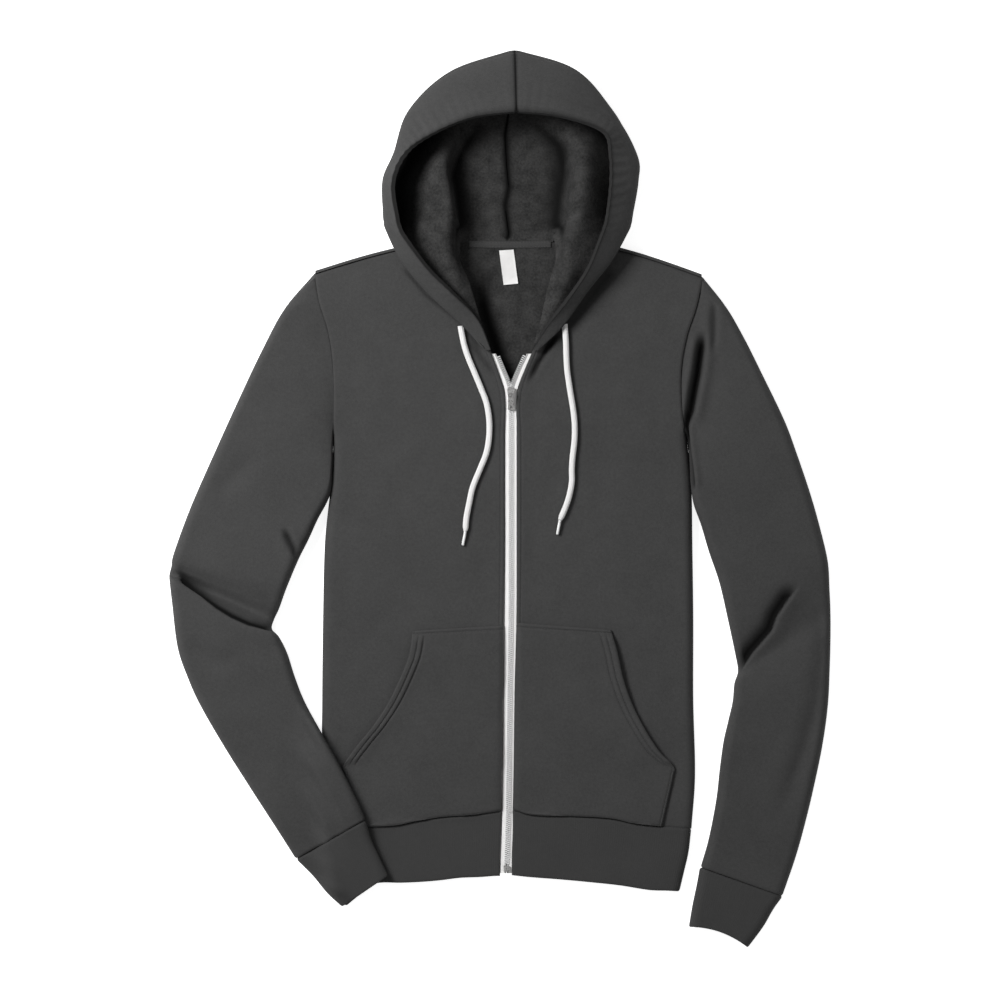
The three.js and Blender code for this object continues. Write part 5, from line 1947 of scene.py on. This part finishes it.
@dataclass
class NeckTrim:
    """The tape over the back neck seam and the bare label under it."""

    floor: float = WALL + SEAM
    tape_from: float = -34
    tape_to: float = 56
    tape_upper: float = 285.6
    tape_thick: float = 1.1
    sag: float = 0.6
    tape_stitches: tuple[float, float] = (1.2, 5.8)
    tape_stations: tuple[float, ...] = (
        0, 0.3, 0.8, 1.2, 1.6, 2.4, 3.5, 4.6, 5.4, 5.8, 6.2, 6.7, 7.0,
    )
    label: tuple[tuple[float, float], ...] = ((-1, 275), (4, 237), (15, 276), (20, 238.5))
    label_thick: float = 0.8
    label_lift: float = 0.35

    def build(self) -> None:
        """Makes both."""
        self.lay_tape()
        self.lay_label()

    def lay_tape(self) -> None:
        """Makes the tape and its two rows of stitches."""
        f = np.linspace(0, 1, 70)[:, None]
        down = np.array(self.tape_stations)[None]
        x = np.broadcast_to(mix(self.tape_from, self.tape_to, f), (f.size, down.size))
        y = self.tape_upper - self.sag * 4 * f * (1 - f) - down
        z = np.full(x.shape, self.floor + self.tape_thick)
        relief = sum(groove(down - line, 0.3, 0.5) for line in self.tape_stitches)
        relief = relief + 0.12 * np.sin(f * 150) * smooth(down) + rolled(down, 0.4, 0.8)
        points = np.stack([x, y, z], -1)
        inward = np.broadcast_to(DOWN, points.shape).copy()
        tape = Cloth("neck_tape_cloth", points, 0.8, False, inward, relief,
                     (NECK_WEAVE, NECK_WEAVE)).build()
        face = points + UP * relief[..., None]
        columns = [self.tape_stations.index(line) for line in self.tape_stitches]
        sew("neck_tape_stitch", [face[1:-1, column] for column in columns])

    def lay_label(self) -> None:
        """Makes the label, its foot curled up a little."""
        a, b, c, d = (np.array(p, float) for p in self.label)
        u, v = np.linspace(0, 1, 26)[:, None], np.linspace(0, 1, 44)[None]
        flat = mix(mix(a, b, v[..., None]), mix(c, d, v[..., None]), u[..., None])
        curl = 1.0 * smooth((v - 0.75) / 0.25) * (0.5 + 0.5 * u) + 0.35 * np.sin(v * 5 + u * 2)
        z = self.floor + self.label_thick + self.label_lift + np.maximum(curl, 0)
        points = np.concatenate([flat, z[..., None]], -1)
        rim = np.minimum(np.minimum(u, 1 - u) * 16, np.minimum(v, 1 - v) * 38)
        relief = 0.15 * smooth((1.6 - rim) / 0.5)
        inward = np.broadcast_to(DOWN, points.shape).copy()
        label = Cloth("neck_label_cloth", points, 0.45, False, inward, relief,
                      (LABEL_SATIN, LABEL_SATIN), Slot.LABEL).build()


@dataclass
class Fittings:
    """The slider, pull and stop: solids of the frame, softened and plated."""

    bevel: float = 0.3
    sharper_than: float = 40  # degrees

    def build(self) -> None:
        """Plates each and rounds its edges."""
        for name in ("zip_slider", "zip_pull", "zip_stop"):
            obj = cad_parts[name]
            obj.data.materials.clear()
            obj.data.materials.append(WARDROBE.get(NICKEL))
            rounded = obj.modifiers.new("edges", "BEVEL")
            rounded.width = self.bevel * MM
            rounded.segments = 2
            rounded.limit_method = "ANGLE"
            rounded.angle_limit = math.radians(self.sharper_than)
            LOG.info("%s: plated", name)


@dataclass
class Studio:
    """The camera over the laid garment, the lights and the pale floor."""

    height: float = 8.0
    level: float = 0.02
    view_wide: float = 1.1
    film: float = 36
    sky: float = 0.26
    key: float = 52
    fill: float = 6
    floor_level: float = 0.92
    floor_half: float = 6.0
    floor_drop: float = 0.0004
    floor_glow: float = 0.8

    def build(self) -> None:
        """Sets up the studio."""
        scene = bpy.context.scene
        camera = bpy.data.objects.new("camera", bpy.data.cameras.new("camera"))
        camera.data.type = "PERSP"
        camera.data.sensor_width = self.film
        camera.data.lens = self.film * self.height / self.view_wide
        camera.data.clip_end = 40
        camera.location = (0, 0, self.height + self.level)
        scene.collection.objects.link(camera)
        scene.camera = camera
        scene.view_settings.view_transform = "Standard"
        scene.view_settings.look = "None"
        world = bpy.data.worlds.new("world")
        world.use_nodes = True
        sky = world.node_tree.nodes["Background"]
        sky.inputs[0].default_value = (1, 1, 1, 1)
        sky.inputs[1].default_value = self.sky
        scene.world = world
        self.lamp("key", (-1.3, 0.8, 1.6), 0.8, self.key)
        self.lamp("fill", (1.6, -1.2, 2.6), 2.0, self.fill)
        self.floor()

    def lamp(self, name: str, place: tuple[float, float, float], size: float, power: float) -> None:
        """Adds a square light that looks at the garment's middle.

        Args:
            name: The light's name.
            place: Where it stands, in metres.
            size: Its side, in metres.
            power: Its power, in watts.
        """
        light = bpy.data.lights.new(name, "AREA")
        light.size, light.energy = size, power
        obj = bpy.data.objects.new(name, light)
        far = math.hypot(place[0], place[1])
        tilt = math.atan2(far, place[2])
        obj.location = place
        obj.rotation_euler = (tilt, 0, math.atan2(place[0], -place[1]))
        bpy.context.scene.collection.objects.link(obj)

    def floor(self) -> None:
        """The floor, just under the garment."""
        mesh = bpy.data.meshes.new("floor")
        s, z = self.floor_half, -self.floor_drop
        mesh.from_pydata([(-s, -s, z), (s, -s, z), (s, s, z), (-s, s, z)], [], [(0, 1, 2, 3)])
        tree = Tree("floor_paper", roughness=0.9, specular_ior_level=0.1,
                    emission_color=(1, 1, 1, 1), emission_strength=self.floor_glow)
        paper = tree.noise(60.0, 2.0)
        tree.feed("Base Color", tree.blend(paper, grey(self.floor_level), grey(0.95)))
        mesh.materials.append(tree.material)
        obj = bpy.data.objects.new("floor", mesh)
        bpy.context.scene.collection.objects.link(obj)


HALVES = (
    Half(
        "right", -1, FRONT_RIGHT, SLEEVE_RIGHT, CUFF_RIGHT, POCKET_RIGHT, HOOD_RIGHT,
        CORD_RIGHT, (-41, -50), "right_x",
        front_creases=(
            Crease(((467, 338), (478, 352), (490, 368), (496, 378)), 1.6, 3.4, painted_dark=0.4),
            # no depth: only a painted shadow of the hood's edge on the chest
            Crease(((484, 353), (459, 320), (427, 296), (400, 264)), 0, 3.0, painted_dark=0.5, taper=0.1),
        ),
        sleeve_creases=(
            Crease(((172, 570), (178, 575.5), (182.6, 583), (201.5, 596), (216.6, 608.5),
                    (231.7, 618), (248.7, 625.5), (270.4, 631), (281, 638), (285, 646)),
                   3.4, 3.6, Fold.LAP, -1, 0.14, 1.7, 1.35),
            Crease(((283, 526), (284.5, 530), (291, 544), (297.7, 556.6), (300, 562)), 4.0, 3.6,
                   painted_dark=0.8),
            Crease(((180, 640), (215, 660), (246, 664)), 1.8, 11.0),
            Crease(((212, 500), (240, 470), (262, 452)), 1.4, 10.0),
        ),
    ),
    Half(
        "left", 1, FRONT_LEFT, SLEEVE_LEFT, CUFF_LEFT, POCKET_LEFT, HOOD_LEFT,
        CORD_LEFT, (63, -38), "left_x",
        front_creases=(
            Crease(((562, 329), (549, 346), (538, 362), (526, 387)), 2.2, 3.6, painted_dark=1.1),
            # no depth: only a painted shadow of the hood's edge on the chest
            Crease(((541, 352), (567, 330), (592, 297), (616, 266)), 0, 9.0, painted_dark=0.5, taper=0.1),
        ),
        sleeve_creases=(
            Crease(((703, 328), (701, 345), (697, 374), (692, 400), (686, 430)), 9.0, 4.6,
                   Fold.VALLEY, 1, 0.22, painted_dark=1.5),
            Crease(((688, 408), (685.5, 424), (687, 445), (690.5, 470), (693, 492)), 5.0, 2.8,
                   painted_dark=1.2, taper=0.12),
            Crease(((713, 296), (713.5, 322), (713, 340), (712, 358)), 2.6, 3.8, painted_dark=0.5),
            Crease(((738, 676), (753, 653), (772, 631), (777, 617), (788, 600), (801, 584)),
                   6.0, 5.0, Fold.LAP, -1, 0.2, 1.8, 1.25),
            Crease(((820, 590), (824, 640), (818, 700), (805, 750), (790, 790), (775, 830)),
                   2.4, 9.0),
        ),
        hood_creases=(
            Crease(((543, 97), (570, 101), (600, 112), (629, 133)), 1.4, 3.2),
        ),
    ),
)


def main() -> None:
    """Builds the hoodie, camera and cords first."""
    logging.basicConfig(level=logging.INFO, format="%(message)s")
    Studio().build()
    for half in HALVES:
        Drawcord(half).build()
    BackPanel().build()
    Waistband().build()
    for half in HALVES:
        FrontPanel(half).build()
        ArmTube(half).sleeve()
        ArmTube(half).cuff()
        Pocket(half).build()
        HoodHalf(half).build()
        ZipHalf(half).build()
    NeckTrim().build()
    Fittings().build()


if __name__ == "__main__":
    main()
